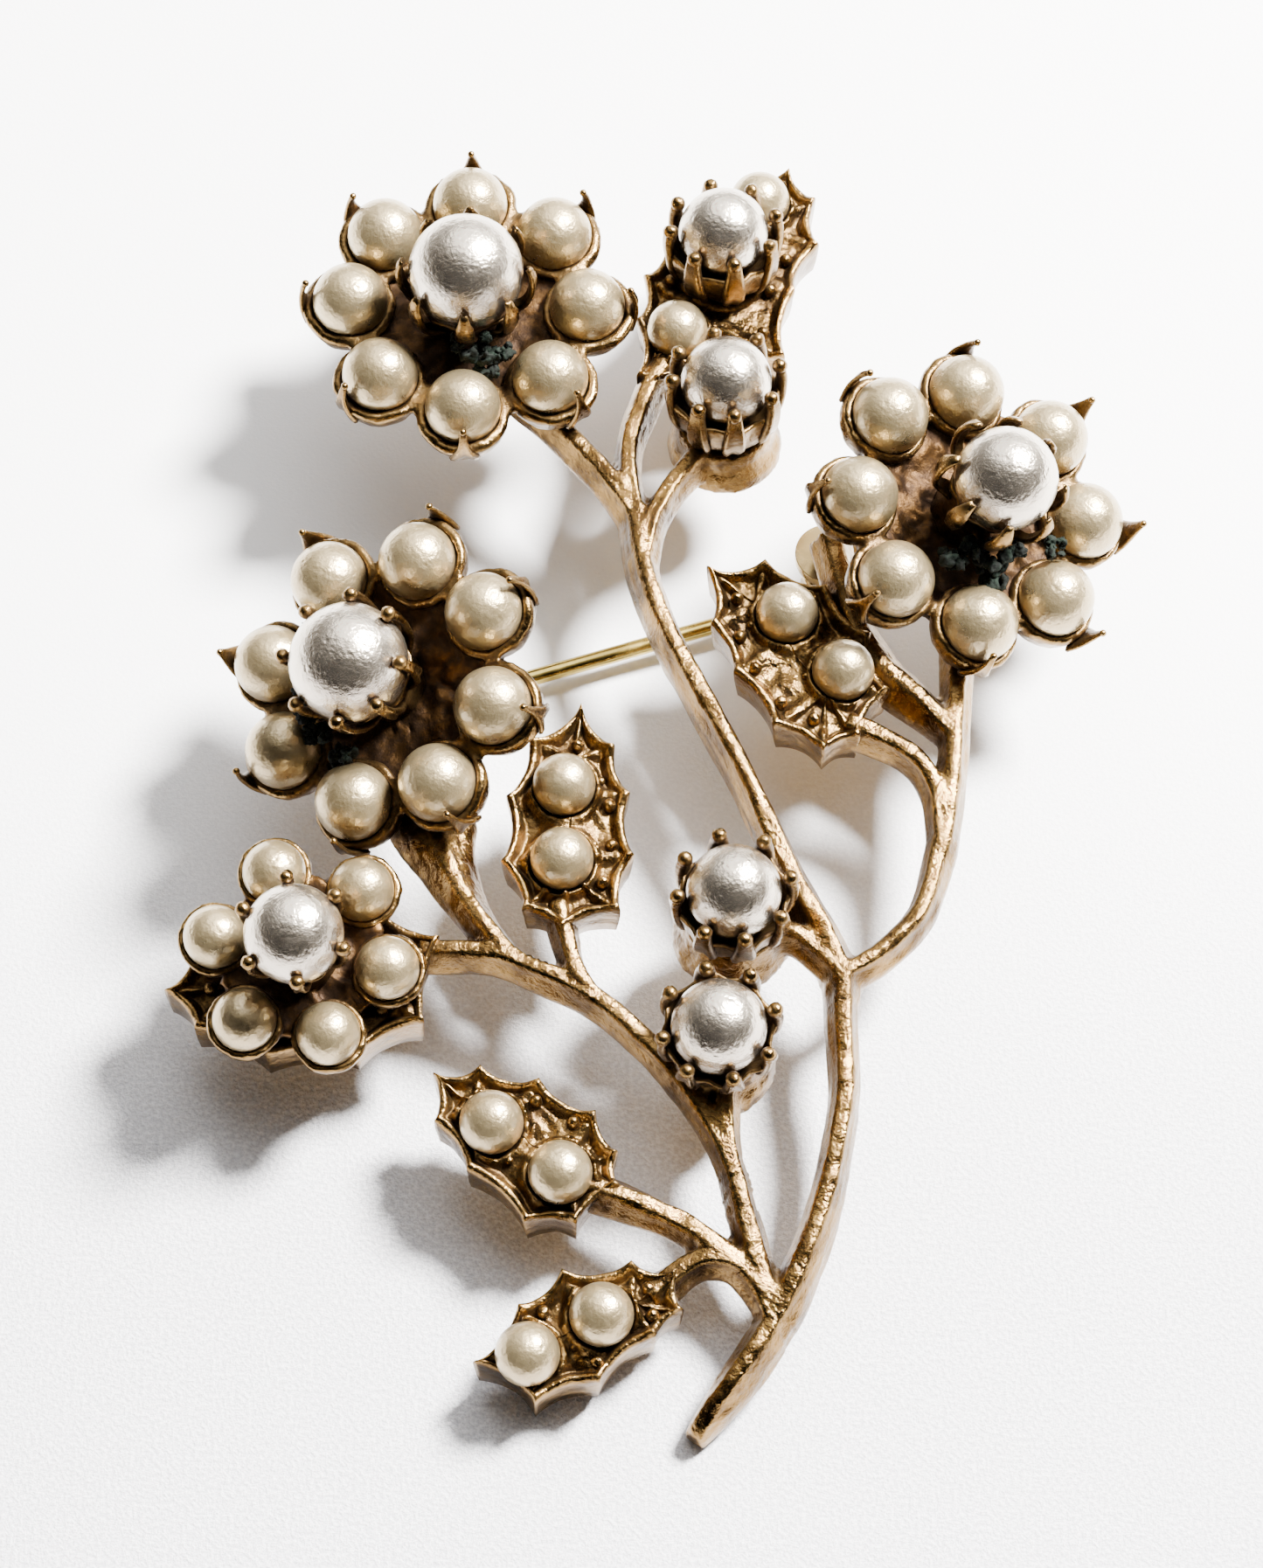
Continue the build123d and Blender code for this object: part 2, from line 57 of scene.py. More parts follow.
# each stem as (x, y, width) stations
STEMS = {
    "main": [(2.9, -33.6, 1.8), (5.6, -30.2, 2.3), (7.8, -26.7, 2.3), (9.6, -22.3, 2.0), (10.8, -16.9, 1.7),
             (10.8, -12.4, 1.9), (10.6, -9.6, 2.2), (8.0, -4.2, 1.8), (5.8, 0.9, 1.7), (3.6, 5.4, 1.7),
             (1.7, 9.5, 1.8), (0.6, 13.2, 1.9), (0.2, 16.1, 2.0)],
    "to_flower_1": [(0.2, 16.1, 2.0), (-1.5, 18.6, 1.8), (-3.7, 21.4, 2.0), (-6.2, 24.3, 2.4),
                    (-8.8, 27.5, 3.0)],
    "to_leaf_a": [(0.2, 16.1, 1.8), (-0.2, 19.7, 1.6), (0.8, 23.6, 2.0), (2.2, 26.4, 2.0)],
    "to_bud_2": [(0.6, 13.2, 1.8), (1.3, 16.2, 1.7), (3.2, 19.2, 1.8), (5.2, 21.0, 2.0)],
    "right": [(10.6, -10.4, 1.8), (12.9, -8.9, 1.7), (15.0, -6.6, 1.7), (16.2, -2.8, 2.0)],
    "to_leaf_b": [(16.2, -2.8, 1.8), (15.8, 0.2, 1.6), (14.4, 2.2, 1.6), (12.0, 3.4, 2.0)],
    "to_flower_2": [(16.2, -2.8, 1.9), (16.8, 1.2, 1.8), (17.1, 5.2, 1.8), (17.3, 10.0, 2.2),
                    (17.2, 14.9, 3.0)],
    "to_catch": [(16.8, 3.4, 1.7), (15.2, 5.1, 2.3), (13.3, 6.9, 2.7), (12.0, 9.2, 2.5), (11.2, 12.0, 2.3),
                 (10.6, 14.9, 2.4)],
    "to_bud_3": [(10.6, -9.8, 1.8), (8.2, -8.0, 1.7), (5.1, -8.0, 2.0)],
    "left": [(7.2, -28.0, 1.7), (6.4, -25.0, 1.9), (5.6, -22.3, 1.8), (4.9, -19.7, 1.7), (3.4, -17.0, 1.7),
             (0.8, -13.8, 1.7), (-1.9, -11.5, 1.8), (-4.6, -10.1, 1.8), (-7.3, -9.1, 1.6),
             (-11.0, -8.8, 2.0)],
    "to_flower_3": [(-4.4, -10.2, 1.7), (-6.2, -9.2, 1.7), (-8.0, -7.0, 2.1), (-9.4, -4.3, 3.2),
                    (-10.6, -1.0, 5.0), (-12.1, 5.4, 3.4)],
    "to_leaf_c": [(-1.9, -11.5, 1.6), (-3.0, -9.6, 1.4), (-3.6, -7.2, 2.0)],
    "to_bud_4": [(5.6, -22.3, 1.7), (4.9, -19.0, 1.6), (4.7, -14.6, 2.0)],
    "to_leaf_d": [(7.2, -28.0, 1.6), (6.1, -25.8, 1.9), (4.4, -24.4, 1.9), (2.1, -22.9, 1.8),
                  (-1.6, -21.4, 2.4)],
    "to_leaf_e": [(5.6, -25.3, 1.5), (4.2, -24.9, 1.6), (2.9, -25.2, 1.7), (1.4, -26.3, 2.4)],
}
# the tooth tips of each leaf, in order round it
LEAVES = {
    "a": [(1.3, 24.1), (0.3, 24.4), (0.3, 28.1), (0.7, 31.1), (1.9, 33.2), (4.6, 37.0), (8.8, 38.7),
          (10.2, 36.6), (10.3, 33.4), (8.9, 30.2), (8.3, 25.8), (4.4, 24.6)],
    "b": [(11.9, 2.6), (10.0, 1.8), (7.4, 3.2), (5.4, 6.2), (4.2, 9.0), (4.0, 12.4), (7.1, 12.9),
          (10.4, 11.4), (12.6, 8.6), (13.5, 5.4)],
    "c": [(-3.6, -8.1), (-5.6, -7.0), (-6.7, -4.4), (-6.5, -0.8), (-5.3, 2.4), (-2.6, 4.4), (-0.9, 2.0),
          (-0.1, -0.7), (0.1, -4.1), (-0.6, -7.1)],
    "d": [(-0.6, -21.5), (-2.8, -23.4), (-5.4, -23.3), (-8.3, -20.6), (-10.0, -18.1), (-10.1, -15.6),
          (-7.7, -15.3), (-4.7, -16.0), (-1.8, -17.7), (-0.7, -19.8)],
    "e": [(2.3, -25.7), (2.6, -27.7), (1.2, -29.0), (-1.6, -31.2), (-4.8, -32.2), (-7.9, -30.2),
          (-5.7, -27.4), (-3.5, -25.7), (0.0, -25.3)],
    "f": [(-9.9, -8.4), (-10.6, -12.9), (-14.0, -14.4), (-18.6, -14.4), (-22.4, -12.8), (-24.0, -10.7),
          (-22.4, -8.2), (-18.0, -6.2), (-13.6, -6.2)],
}
LEAF_PEARLS = {
    "a": [(2.5, 27.3), (7.1, 36.2)],
    "b": [(8.2, 9.6), (11.1, 6.3)],
    "c": [(-3.5, -0.3), (-3.6, -4.4)],
    "d": [(-7.1, -18.3), (-3.6, -20.9)],
    "e": [(-1.5, -28.0), (-5.2, -29.9)],
    "f": [],
}
LEAF_PEARL_RADIUS = 1.65
LEAF_PEARL_RISE = 0.3
# centre, lean and its bearing, ring radius, rise of the centre pearl, its radius, petal bearings
FLOWERS = {
    1: ((-8.8, 27.5, 11.0), 1, 230, 6.4, 3.4, 3.1, (44, 90, 136, 177, 223, 268, 314, 359)),
    2: ((18.0, 14.6, 11.5), 22, 339, 6.5, 4.2, 2.75, (1, 45, 92, 136, 182, 226, 272, 316)),
    3: ((-12.9, 4.5, 11.0), 26, 212, 6.5, 4.2, 3.1, (29, 73, 119, 167, 210, 256, 299, 343)),
    4: ((-16.85, -9.9, 8.5), 11, 261, 4.5, 3.9, 2.55, (47, 109, 169, 231, 289, 349)),
}
PETAL_RADIUS = {1: 2.05, 2: 2.05, 3: 2.05, 4: 1.65}
CENTRE_CLAWS = {1: 8, 2: 8, 3: 8, 4: 6}
CUP_GAP = {1: 0.18, 2: 0.05, 3: 0.09, 4: 0.07}  # extra width of the rim round a petal pearl
# centre, lean and its bearing
BUDS = {
    1: ((5.0, 31.9, 11.4), 8, 90),
    2: ((5.05, 22.1, 11.9), 8, 90),
    3: ((5.2, -7.6, 10.9), 4, 270),
    4: ((4.4, -14.7, 10.0), 12, 270),
}
BUD_RADIUS = 2.45
PAD_RADIUS = 2.7
PIVOT = (-12.8, 7.4, 1.4)
PIN_BEARING = 18.0
PIN_LENGTH = 26.4


def dome_height(radius, x, y):
    return DOME_Z + np.sqrt(radius**2 - (x - DOME_XY[0]) ** 2 - (y - DOME_XY[1]) ** 2)


def cast_top(x, y):
    return dome_height(DOME_RADIUS, x, y)


def cast_underside(x, y):
    return dome_height(INNER_RADIUS, x, y)


# ---------------------------------------------------------------- noise and curves
def hash_grid(i, j, k, seed):
    """A fixed value from -1 to 1 for each whole-numbered corner."""
    h = (i * 374761393 + j * 668265263 + k * 2147483647 + seed * 974634777) & 0xFFFFFFFF
    h = ((h ^ (h >> 13)) * 1274126177) & 0xFFFFFFFF
    return ((h ^ (h >> 16)) & 0xFFFF) / 32767.5 - 1.0


def noise3(p, scale, seed=0):
    """Smooth value noise from -1 to 1 at each row of p."""
    q = np.asarray(p, float) * scale + 1000.0
    cell = np.floor(q).astype(np.int64)
    t = q - cell
    t = t * t * (3 - 2 * t)
    total = 0.0
    for dx in (0, 1):
        for dy in (0, 1):
            for dz in (0, 1):
                corner = hash_grid(cell[:, 0] + dx, cell[:, 1] + dy, cell[:, 2] + dz, seed)
                wx = t[:, 0] if dx else 1 - t[:, 0]
                wy = t[:, 1] if dy else 1 - t[:, 1]
                wz = t[:, 2] if dz else 1 - t[:, 2]
                total = total + corner * wx * wy * wz
    return total


def fractal(p, scale, octaves=3, seed=0):
    return sum(noise3(p, scale * 2**o, seed + o) * 0.5**o for o in range(octaves))


def spline(points, step):
    """Points about step apart along a Catmull-Rom curve through the given rows."""
    p = np.array(points, float)
    p = np.vstack([2 * p[0] - p[1], p, 2 * p[-1] - p[-2]])
    out = []
    for a, b, c, d in zip(p, p[1:], p[2:], p[3:]):
        count = max(2, int(np.linalg.norm((c - b)[:2]) / step))
        for t in np.arange(count) / count:
            out.append(0.5 * (2 * b + (c - a) * t + (2 * a - 5 * b + 4 * c - d) * t**2
                              + (3 * b - a - 3 * c + d) * t**3))
    out.append(p[-2])
    return np.array(out)


# ---------------------------------------------------------------- mesh building
class Shape:
    """Collects closed surfaces, in millimetres on the plan."""

    def __init__(self):
        self.verts = []
        self.faces = []

    def add(self, verts, faces):
        start = len(self.verts)
        self.verts.extend(map(tuple, verts))
        self.faces.extend(tuple(i + start for i in f) for f in faces)

    def loft(self, rings):
        """Skins closed rings of equal length and closes both ends with a fan."""
        rings = np.asarray(rings, float)
        rows, count = rings.shape[:2]
        verts = list(rings.reshape(-1, 3))
        faces = []
        for r in range(rows - 1):
            for c in range(count):
                d = (c + 1) % count
                faces.append((r * count + c, r * count + d, (r + 1) * count + d, (r + 1) * count + c))
        for r, flip in ((0, True), (rows - 1, False)):
            middle = len(verts)
            verts.append(rings[r].mean(0))
            for c in range(count):
                d = (c + 1) % count
                face = (r * count + c, r * count + d, middle)
                faces.append(face[::-1] if flip else face)
        self.add(verts, faces)

    def ball(self, centre, radius, level=2, squash=(1, 1, 1), rough=0.0, seed=0):
        verts, faces = ICO[level]
        v = verts * radius
        if rough:
            v = v * (1 + rough * fractal(verts + seed * 3.1, 1.7, 3, seed))[:, None]
        self.add(v * np.array(squash) + np.array(centre), faces)


def icosphere(level):
    bm = bmesh.new()
    bmesh.ops.create_icosphere(bm, subdivisions=level, radius=1.0)
    verts = np.array([v.co for v in bm.verts], float)
    faces = [tuple(v.index for v in f.verts) for f in bm.faces]
    bm.free()
    return verts, faces


ICO = {level: icosphere(level) for level in (2, 3, 4)}


def make_mesh(name, verts, faces):
    mesh = bpy.data.meshes.new(name)
    mesh.from_pydata([tuple(v) for v in verts], [], faces)
    bm = bmesh.new()
    bm.from_mesh(mesh)
    bmesh.ops.recalc_face_normals(bm, faces=bm.faces)
    bm.to_mesh(mesh)
    bm.free()
    mesh.shade_smooth()
    obj = bpy.data.objects.new(name, mesh)
    bpy.context.scene.collection.objects.link(obj)
    return obj


def remesh(obj, voxel, smooth_steps):
    """Fuses the overlapping surfaces of obj and softens the result. Works in millimetres."""
    modifier = obj.modifiers.new("fuse", "REMESH")
    modifier.mode = "VOXEL"
    modifier.voxel_size = voxel
    if smooth_steps:
        softer = obj.modifiers.new("soften", "SMOOTH")
        softer.factor = 0.5
        softer.iterations = smooth_steps
    graph = bpy.context.evaluated_depsgraph_get()
    fused = bpy.data.meshes.new_from_object(obj.evaluated_get(graph))
    obj.modifiers.clear()
    obj.data = fused
    obj.data.shade_smooth()


def coordinates(mesh):
    co = np.empty(len(mesh.vertices) * 3)
    mesh.vertices.foreach_get("co", co)
    return co.reshape(-1, 3)


def normals(mesh):
    no = np.empty(len(mesh.vertices) * 3)
    mesh.vertex_normals.foreach_get("vector", no)
    return no.reshape(-1, 3)


def place(obj, body, nodes, material, slot):
    """Moves a piece from plan millimetres to the frame, gives it its material, parents it to its body and
    hides the CAD nodes it stands in for.
    """
    mesh = obj.data
    mesh.vertices.foreach_set("co", ((coordinates(mesh) + PLAN_TO_FRAME) * MM).ravel())
    mesh.update()
    mesh.materials.clear()
    mesh.materials.append(material)
    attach(obj, body)
    if nodes:
        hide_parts(*nodes)


# ---------------------------------------------------------------- materials
def new_material(name):
    material = bpy.data.materials.new(name)
    material.use_nodes = True
    tree = material.node_tree
    shader = tree.nodes["Principled BSDF"]
    return material, tree, shader


class Nodes:
    """Short calls for the shader nodes used below."""

    def __init__(self, tree):
        self.tree = tree
        self.coords = tree.nodes.new("ShaderNodeTexCoord").outputs["Object"]

    def noise(self, scale, detail=4.0, roughness=0.55):
        n = self.tree.nodes.new("ShaderNodeTexNoise")
        n.inputs["Scale"].default_value = scale
        n.inputs["Detail"].default_value = detail
        n.inputs["Roughness"].default_value = roughness
        self.tree.links.new(self.coords, n.inputs["Vector"])
        return n.outputs["Fac"]

    def spots(self, scale):
        n = self.tree.nodes.new("ShaderNodeTexVoronoi")
        n.inputs["Scale"].default_value = scale
        self.tree.links.new(self.coords, n.inputs["Vector"])
        return n.outputs["Distance"]

    def cavity(self, distance):
        n = self.tree.nodes.new("ShaderNodeAmbientOcclusion")
        n.samples = 8
        n.inputs["Distance"].default_value = distance
        return n.outputs["AO"]

    def upward(self):
        n = self.tree.nodes.new("ShaderNodeSeparateXYZ")
        self.tree.links.new(self.coords, n.inputs[0])
        return n.outputs["Y"]

    def pointiness(self):
        return self.tree.nodes.new("ShaderNodeNewGeometry").outputs["Pointiness"]

    def spread(self, value, low, high, to_low=0.0, to_high=1.0):
        n = self.tree.nodes.new("ShaderNodeMapRange")
        n.interpolation_type = "SMOOTHSTEP"
        n.inputs["From Min"].default_value = low
        n.inputs["From Max"].default_value = high
        n.inputs["To Min"].default_value = to_low
        n.inputs["To Max"].default_value = to_high
        self.tree.links.new(value, n.inputs["Value"])
        return n.outputs["Result"]

    def math(self, operation, a, b):
        n = self.tree.nodes.new("ShaderNodeMath")
        n.operation = operation
        for socket, value in zip(n.inputs, (a, b)):
            if isinstance(value, (int, float)):
                socket.default_value = value
            else:
                self.tree.links.new(value, socket)
        return n.outputs[0]

    def mix(self, factor, a, b):
        n = self.tree.nodes.new("ShaderNodeMix")
        n.data_type = "RGBA"
        # a Mix node has a set of sockets for each data type; 6 and 7 are its two colours
        sockets = (n.inputs[0], n.inputs[6], n.inputs[7])
        for socket, value in zip(sockets, (factor, a, b)):
            if isinstance(value, tuple):
                socket.default_value = (*value, 1.0)
            elif isinstance(value, (int, float)):
                socket.default_value = value
            else:
                self.tree.links.new(value, socket)
        return n.outputs[2]

    def bump(self, height, distance):
        n = self.tree.nodes.new("ShaderNodeBump")
        n.inputs["Strength"].default_value = 1.0
        n.inputs["Distance"].default_value = distance
        self.tree.links.new(height, n.inputs["Height"])
        return n.outputs["Normal"]


def gold_material(name, bright, tan, brown, grime_and_shade, reach, roughness, bump_depth):
    """Old gold-tone metal: bright on rubbed edges, partly a painted highlight; tan on open faces; brown
    patina and painted shade in hollows.
    """
    material, tree, shader = new_material(name)
    n = Nodes(tree)
    # Painted shade mixed with patina: the cavity mask turns the metal brown, duller and less metallic in
    # hollows and where parts crowd each other.
    hollow = n.spread(n.cavity(reach * MM), 0.3, 0.95, 1.0, 0.0)
    patches = n.spread(n.noise(330.0, 5.0, 0.62), 0.38, 0.66)
    stain = n.spread(n.noise(1300.0, 4.0, 0.6), 0.42, 0.7)
    # Sharp convex edges are lifted towards the bright gold: rubbed wear, and partly a painted highlight.
    edge = n.spread(n.pointiness(), 0.5, 0.56)
    metal = n.mix(patches, bright, tan)
    metal = n.mix(n.math("MULTIPLY", edge, 0.7), metal, bright)
    grime_and_shade_mask = n.math("MULTIPLY", hollow, n.math("ADD", n.math("MULTIPLY", stain, 0.5), 0.6))
    grime_and_shade_mask = n.math("MULTIPLY", grime_and_shade_mask, grime_and_shade)
    grime_and_shade_mask = n.math("MINIMUM", grime_and_shade_mask, 1.0)
    metal = n.mix(grime_and_shade_mask, metal, brown)
    tree.links.new(metal, shader.inputs["Base Color"])
    tree.links.new(n.spread(grime_and_shade_mask, 0.0, 1.0, 1.0, 0.88), shader.inputs["Metallic"])
    rough = n.math("ADD", n.spread(n.noise(900.0, 3.0), 0.3, 0.7, roughness, roughness + 0.16),
                   n.math("MULTIPLY", grime_and_shade_mask, 0.25))
    tree.links.new(rough, shader.inputs["Roughness"])
    fine = n.noise(4600.0, 3.0, 0.65)
    coarse = n.noise(900.0, 2.0, 0.5)
    height = n.math("ADD", n.math("MULTIPLY", fine, 0.45), coarse)
    tree.links.new(n.bump(height, bump_depth * MM), shader.inputs["Normal"])
    return material


def pearl_material(name, base, worn, dirt_and_shade, dirt_and_shade_reach, metallic, roughness):
    """Lacquered faux pearl: soft lustre under a clear coat, soiling and painted shade near the metal, worn
    pits.
    """
    material, tree, shader = new_material(name)
    n = Nodes(tree)
    # Painted shade mixed with soiling: the cavity mask darkens the pearl where it sits close against its cup
    # and the other metal.
    close = n.spread(n.cavity(1.2 * MM), 0.25, dirt_and_shade_reach, 1.0, 0.0)
    cloud = n.spread(n.noise(420.0, 4.0, 0.6), 0.35, 0.7)
    speck = n.spread(n.noise(1900.0, 5.0, 0.7), 0.62, 0.74)
    colour = n.mix(n.math("MULTIPLY", cloud, 0.55), base, worn)
    colour = n.mix(n.math("MULTIPLY", speck, 0.2), colour, dirt_and_shade)
    colour = n.mix(n.math("MULTIPLY", close, 0.85), colour, dirt_and_shade)
    tree.links.new(colour, shader.inputs["Base Color"])
    shader.inputs["Metallic"].default_value = metallic
    rough = n.spread(n.noise(1100.0, 4.0, 0.6), 0.3, 0.7, roughness, roughness + 0.07)
    tree.links.new(rough, shader.inputs["Roughness"])
    shader.inputs["Coat Weight"].default_value = 0.4
    shader.inputs["Coat Roughness"].default_value = 0.09
    shader.inputs["Subsurface Weight"].default_value = 0.04
    shader.inputs["Subsurface Radius"].default_value = (1.0, 0.8, 0.6)
    shader.inputs["Subsurface Scale"].default_value = 0.6 * MM
    pits = n.spread(n.spots(1500.0), 0.0, 0.28)
    pits = n.math("ADD", n.math("MULTIPLY", pits, 0.5), n.math("MULTIPLY", n.noise(3400.0, 4.0), 1.6))
    tree.links.new(n.bump(pits, 0.032 * MM), shader.inputs["Normal"])
    tree.links.new(n.bump(pits, 0.010 * MM), shader.inputs["Coat Normal"])
    return material


# Each gold paints shade into its hollows through its cavity reach; the cups' longer reach paints more of it.
GOLD = gold_material("antique_gold", bright=(0.25, 0.148, 0.048), tan=(0.07, 0.039, 0.0135),
                     brown=(0.034, 0.018, 0.007), grime_and_shade=1.1, reach=1.5, roughness=0.12, bump_depth=0.14)
CUP_GOLD = gold_material("cup_gold", bright=(0.22, 0.134, 0.046), tan=(0.076, 0.043, 0.016),
                         brown=(0.034, 0.018, 0.007), grime_and_shade=1.2, reach=3.0, roughness=0.14, bump_depth=0.09)
# Painted shade: a darker copy of the gold for the plates sunk between the pearls, where shade falls.
SHADOWED_PLATE_GOLD = gold_material("shadowed_gold", bright=(0.115, 0.055, 0.012), tan=(0.040, 0.019, 0.005),
                          brown=(0.018, 0.009, 0.004), grime_and_shade=1.4, reach=4.5, roughness=0.24, bump_depth=0.09)
FINDING = gold_material("finding_metal", bright=(0.42, 0.30, 0.13), tan=(0.22, 0.15, 0.065),
                        brown=(0.04, 0.024, 0.012), grime_and_shade=1.0, reach=2.0, roughness=0.18, bump_depth=0.012)
WIRE = gold_material("pin_wire", bright=(0.62, 0.47, 0.13), tan=(0.36, 0.26, 0.07),
                     brown=(0.10, 0.06, 0.02), grime_and_shade=0.6, reach=1.6, roughness=0.12, bump_depth=0.006)
WHITE_PEARL = pearl_material("white_pearl", base=(0.68, 0.60, 0.49), worn=(0.53, 0.455, 0.36),
                             dirt_and_shade=(0.12, 0.07, 0.034), dirt_and_shade_reach=0.65, metallic=0.975, roughness=0.19)
CREAM_PEARL = pearl_material("cream_pearl", base=(0.46, 0.362, 0.20), worn=(0.39, 0.295, 0.155),
                             dirt_and_shade=(0.10, 0.056, 0.022), dirt_and_shade_reach=0.6, metallic=0.85, roughness=0.27)


def verdigris_material():
    """Green corrosion, nearly black, dull and flaky."""
    material, tree, shader = new_material("verdigris")
    n = Nodes(tree)
    flake = n.spread(n.noise(1500.0, 5.0, 0.7), 0.4, 0.65)
    colour = n.mix(flake, (0.002, 0.003, 0.002), (0.0050, 0.0105, 0.0065))
    tree.links.new(colour, shader.inputs["Base Color"])
    tree.links.new(n.spread(n.noise(2500.0), 0.3, 0.7, 0.7, 0.95), shader.inputs["Roughness"])
    shader.inputs["Specular IOR Level"].default_value = 0.18
    tree.links.new(n.bump(n.noise(3000.0, 4.0, 0.7), 0.12 * MM), shader.inputs["Normal"])
    return material


VERDIGRIS = verdigris_material()


# ---------------------------------------------------------------- stems
SECTION_RIDGE = 0.36      # half width of the ridge on top of a stem
NOSE_RINGS = 10           # rings over which the cut end of the main stem rounds off
NOSE_REACH = 0.35         # how far that end stands past the first station
LEAF_REACH = 0.8          # how far a stem runs on under its leaf
MAIN_FOOT = 0.15          # height of a stem's lower edge over the CAD underside
SIDE_FOOT = 0.75
POST_FLARE = ((0.0, 1.15), (0.25, 1.12), (0.55, 1.0), (0.8, 0.96), (1.0, 0.92))  # height share, radius share


def stem_section(width, foot):
    """Half-round bark section: (sideways, height) round the stem, from foot above the CAD underside."""
    half = width / 2 * 0.95
    side = [(half * 0.72, foot), (half * 0.94, foot + 0.2), (half, foot + 0.55), (half * 0.88, 1.75),
            (half * 0.62, 2.3), (SECTION_RIDGE + 0.10, 2.70), (SECTION_RIDGE - 0.04, 2.86)]
    return side + [(-x, z) for x, z in reversed(side)]


def direction(a, b):
    return (b - a) / np.linalg.norm(b - a)


def add_stem(shape, name, stations):
    """Lofts one stem, and returns (x, y, travel, dx, dy) along its middle line."""
    main = name == "main"
    reach = NOSE_REACH if main else 0.0
    start = stations[0, :2] - reach * direction(stations[1, :2], stations[0, :2])
    reach = LEAF_REACH if "leaf" in name else 0.0
    end = stations[-1, :2] + reach * direction(stations[-2, :2], stations[-1, :2])
    stations = np.vstack([[*start, stations[0, 2]], stations[1:-1], [*end, stations[-1, 2]]])
    line = spline(stations, 0.4)
    ahead = np.gradient(line[:, :2], axis=0)
    ahead /= np.linalg.norm(ahead, axis=1)[:, None]
    travel = 0.0
    rings, path = [], []
    for i, ((x, y, width), (dx, dy)) in enumerate(zip(line, ahead)):
        if i:
            travel += math.hypot(*(line[i, :2] - line[i - 1, :2]))
        path.append((x, y, travel, dx, dy))
        low = float(cast_underside(x, y))
        nose = 1.0
        if main and i < NOSE_RINGS - 1:
            nose = math.sin(math.pi / 2 * (i + 1) / NOSE_RINGS) ** 0.6
        section = stem_section(width * (0.5 + 0.5 * nose), MAIN_FOOT if main else SIDE_FOOT)
        rings.append([(x - dy * u, y + dx * u, max(low + h * (0.3 + 0.7 * nose), 0.02)) for u, h in section])
    shape.loft(rings)
    return path


def add_post(shape, x, y, top, radius):
    """A round post from the cast underside up to a height, wider at its foot."""
    low = float(cast_underside(x, y))
    rings = []
    for share, grow in POST_FLARE:
        height = low + (top - low) * share
        rings.append([(x + radius * grow * math.cos(t), y + radius * grow * math.sin(t), height)
                      for t in np.linspace(0, 2 * math.pi, 28, endpoint=False)])
    shape.loft(rings)


def carve_bark(mesh, path):
    """Long ridges along each stem with short nicks across it."""
    tree = KDTree(len(path))
    for i, point in enumerate(path):
        tree.insert((point[0], point[1], 0.0), i)
    tree.balance()
    co = coordinates(mesh)
    no = normals(mesh)
    local = np.zeros_like(co)
    for i, (x, y, z) in enumerate(co):
        _, index, _ = tree.find((x, y, 0.0))
        px, py, travel, dx, dy = path[index]
        local[i] = (travel + (x - px) * dx + (y - py) * dy, -(x - px) * dy + (y - py) * dx, z)
    lengthwise = fractal(local * np.array([0.3, 1.9, 1.2]), 1.0, 3, 3)
    across = noise3(local * np.array([2.2, 0.9, 0.6]), 1.0, 11)
    nicks = -np.clip(noise3(local * np.array([2.6, 1.2, 0.4]), 1.0, 17) - 0.15, 0, 1)
    lumps = fractal(co, 0.55, 2, 5)
    upper = np.clip(no[:, 2] + 0.3, 0, 1)
    move = 0.075 * lengthwise + (0.02 * across + 0.05 * nicks) * upper + 0.03 * lumps
    co += no * move[:, None]
    co[:, 2] = np.maximum(co[:, 2], 0.01)
    mesh.vertices.foreach_set("co", co.ravel())


def build_stems():
    shape = Shape()
    path = []
    for name, stations in STEMS.items():
        path += add_stem(shape, name, np.array(stations))
    for post in post_list():
        add_post(shape, *post)
    obj = make_mesh("cast_stems", shape.verts, shape.faces)
    remesh(obj, 0.165, 3)
    carve_bark(obj.data, path)
    place(obj, "root", ["spray_frame"], GOLD, "cast_gold")


def tilted_axes(lean, bearing):
    """The two in-plane directions and the normal of a plane that leans towards a bearing."""
    a, b = math.radians(lean), math.radians(bearing)
    normal = np.array([math.sin(a) * math.cos(b), math.sin(a) * math.sin(b), math.cos(a)])
    u = np.array([1.0, 0.0, 0.0]) - normal[0] * normal
    u /= np.linalg.norm(u)
    return u, np.cross(normal, u), normal


def post_list():
    """(x, y, top, radius) of the posts up to the flowers and buds, and of the pads under the buds."""
    posts = []
    for n, (centre, lean, bearing, *_) in FLOWERS.items():
        x, y, z = np.array(centre) - tilted_axes(lean, bearing)[2] * (plate_bottom(n) - 0.3)
        posts.append((x, y, z, 1.9))
    for centre, lean, bearing in BUDS.values():
        x, y, z = np.array(centre) - tilted_axes(lean, bearing)[2] * 3.2
        posts.append((x, y, float(cast_top(x, y)), PAD_RADIUS))
        posts.append((x, y, z, 1.5))
    return posts


def plate_bottom(n):
    """Depth of a flower's plate below the middles of its petal pearls."""
    return PETAL_RADIUS[n] + 0.45


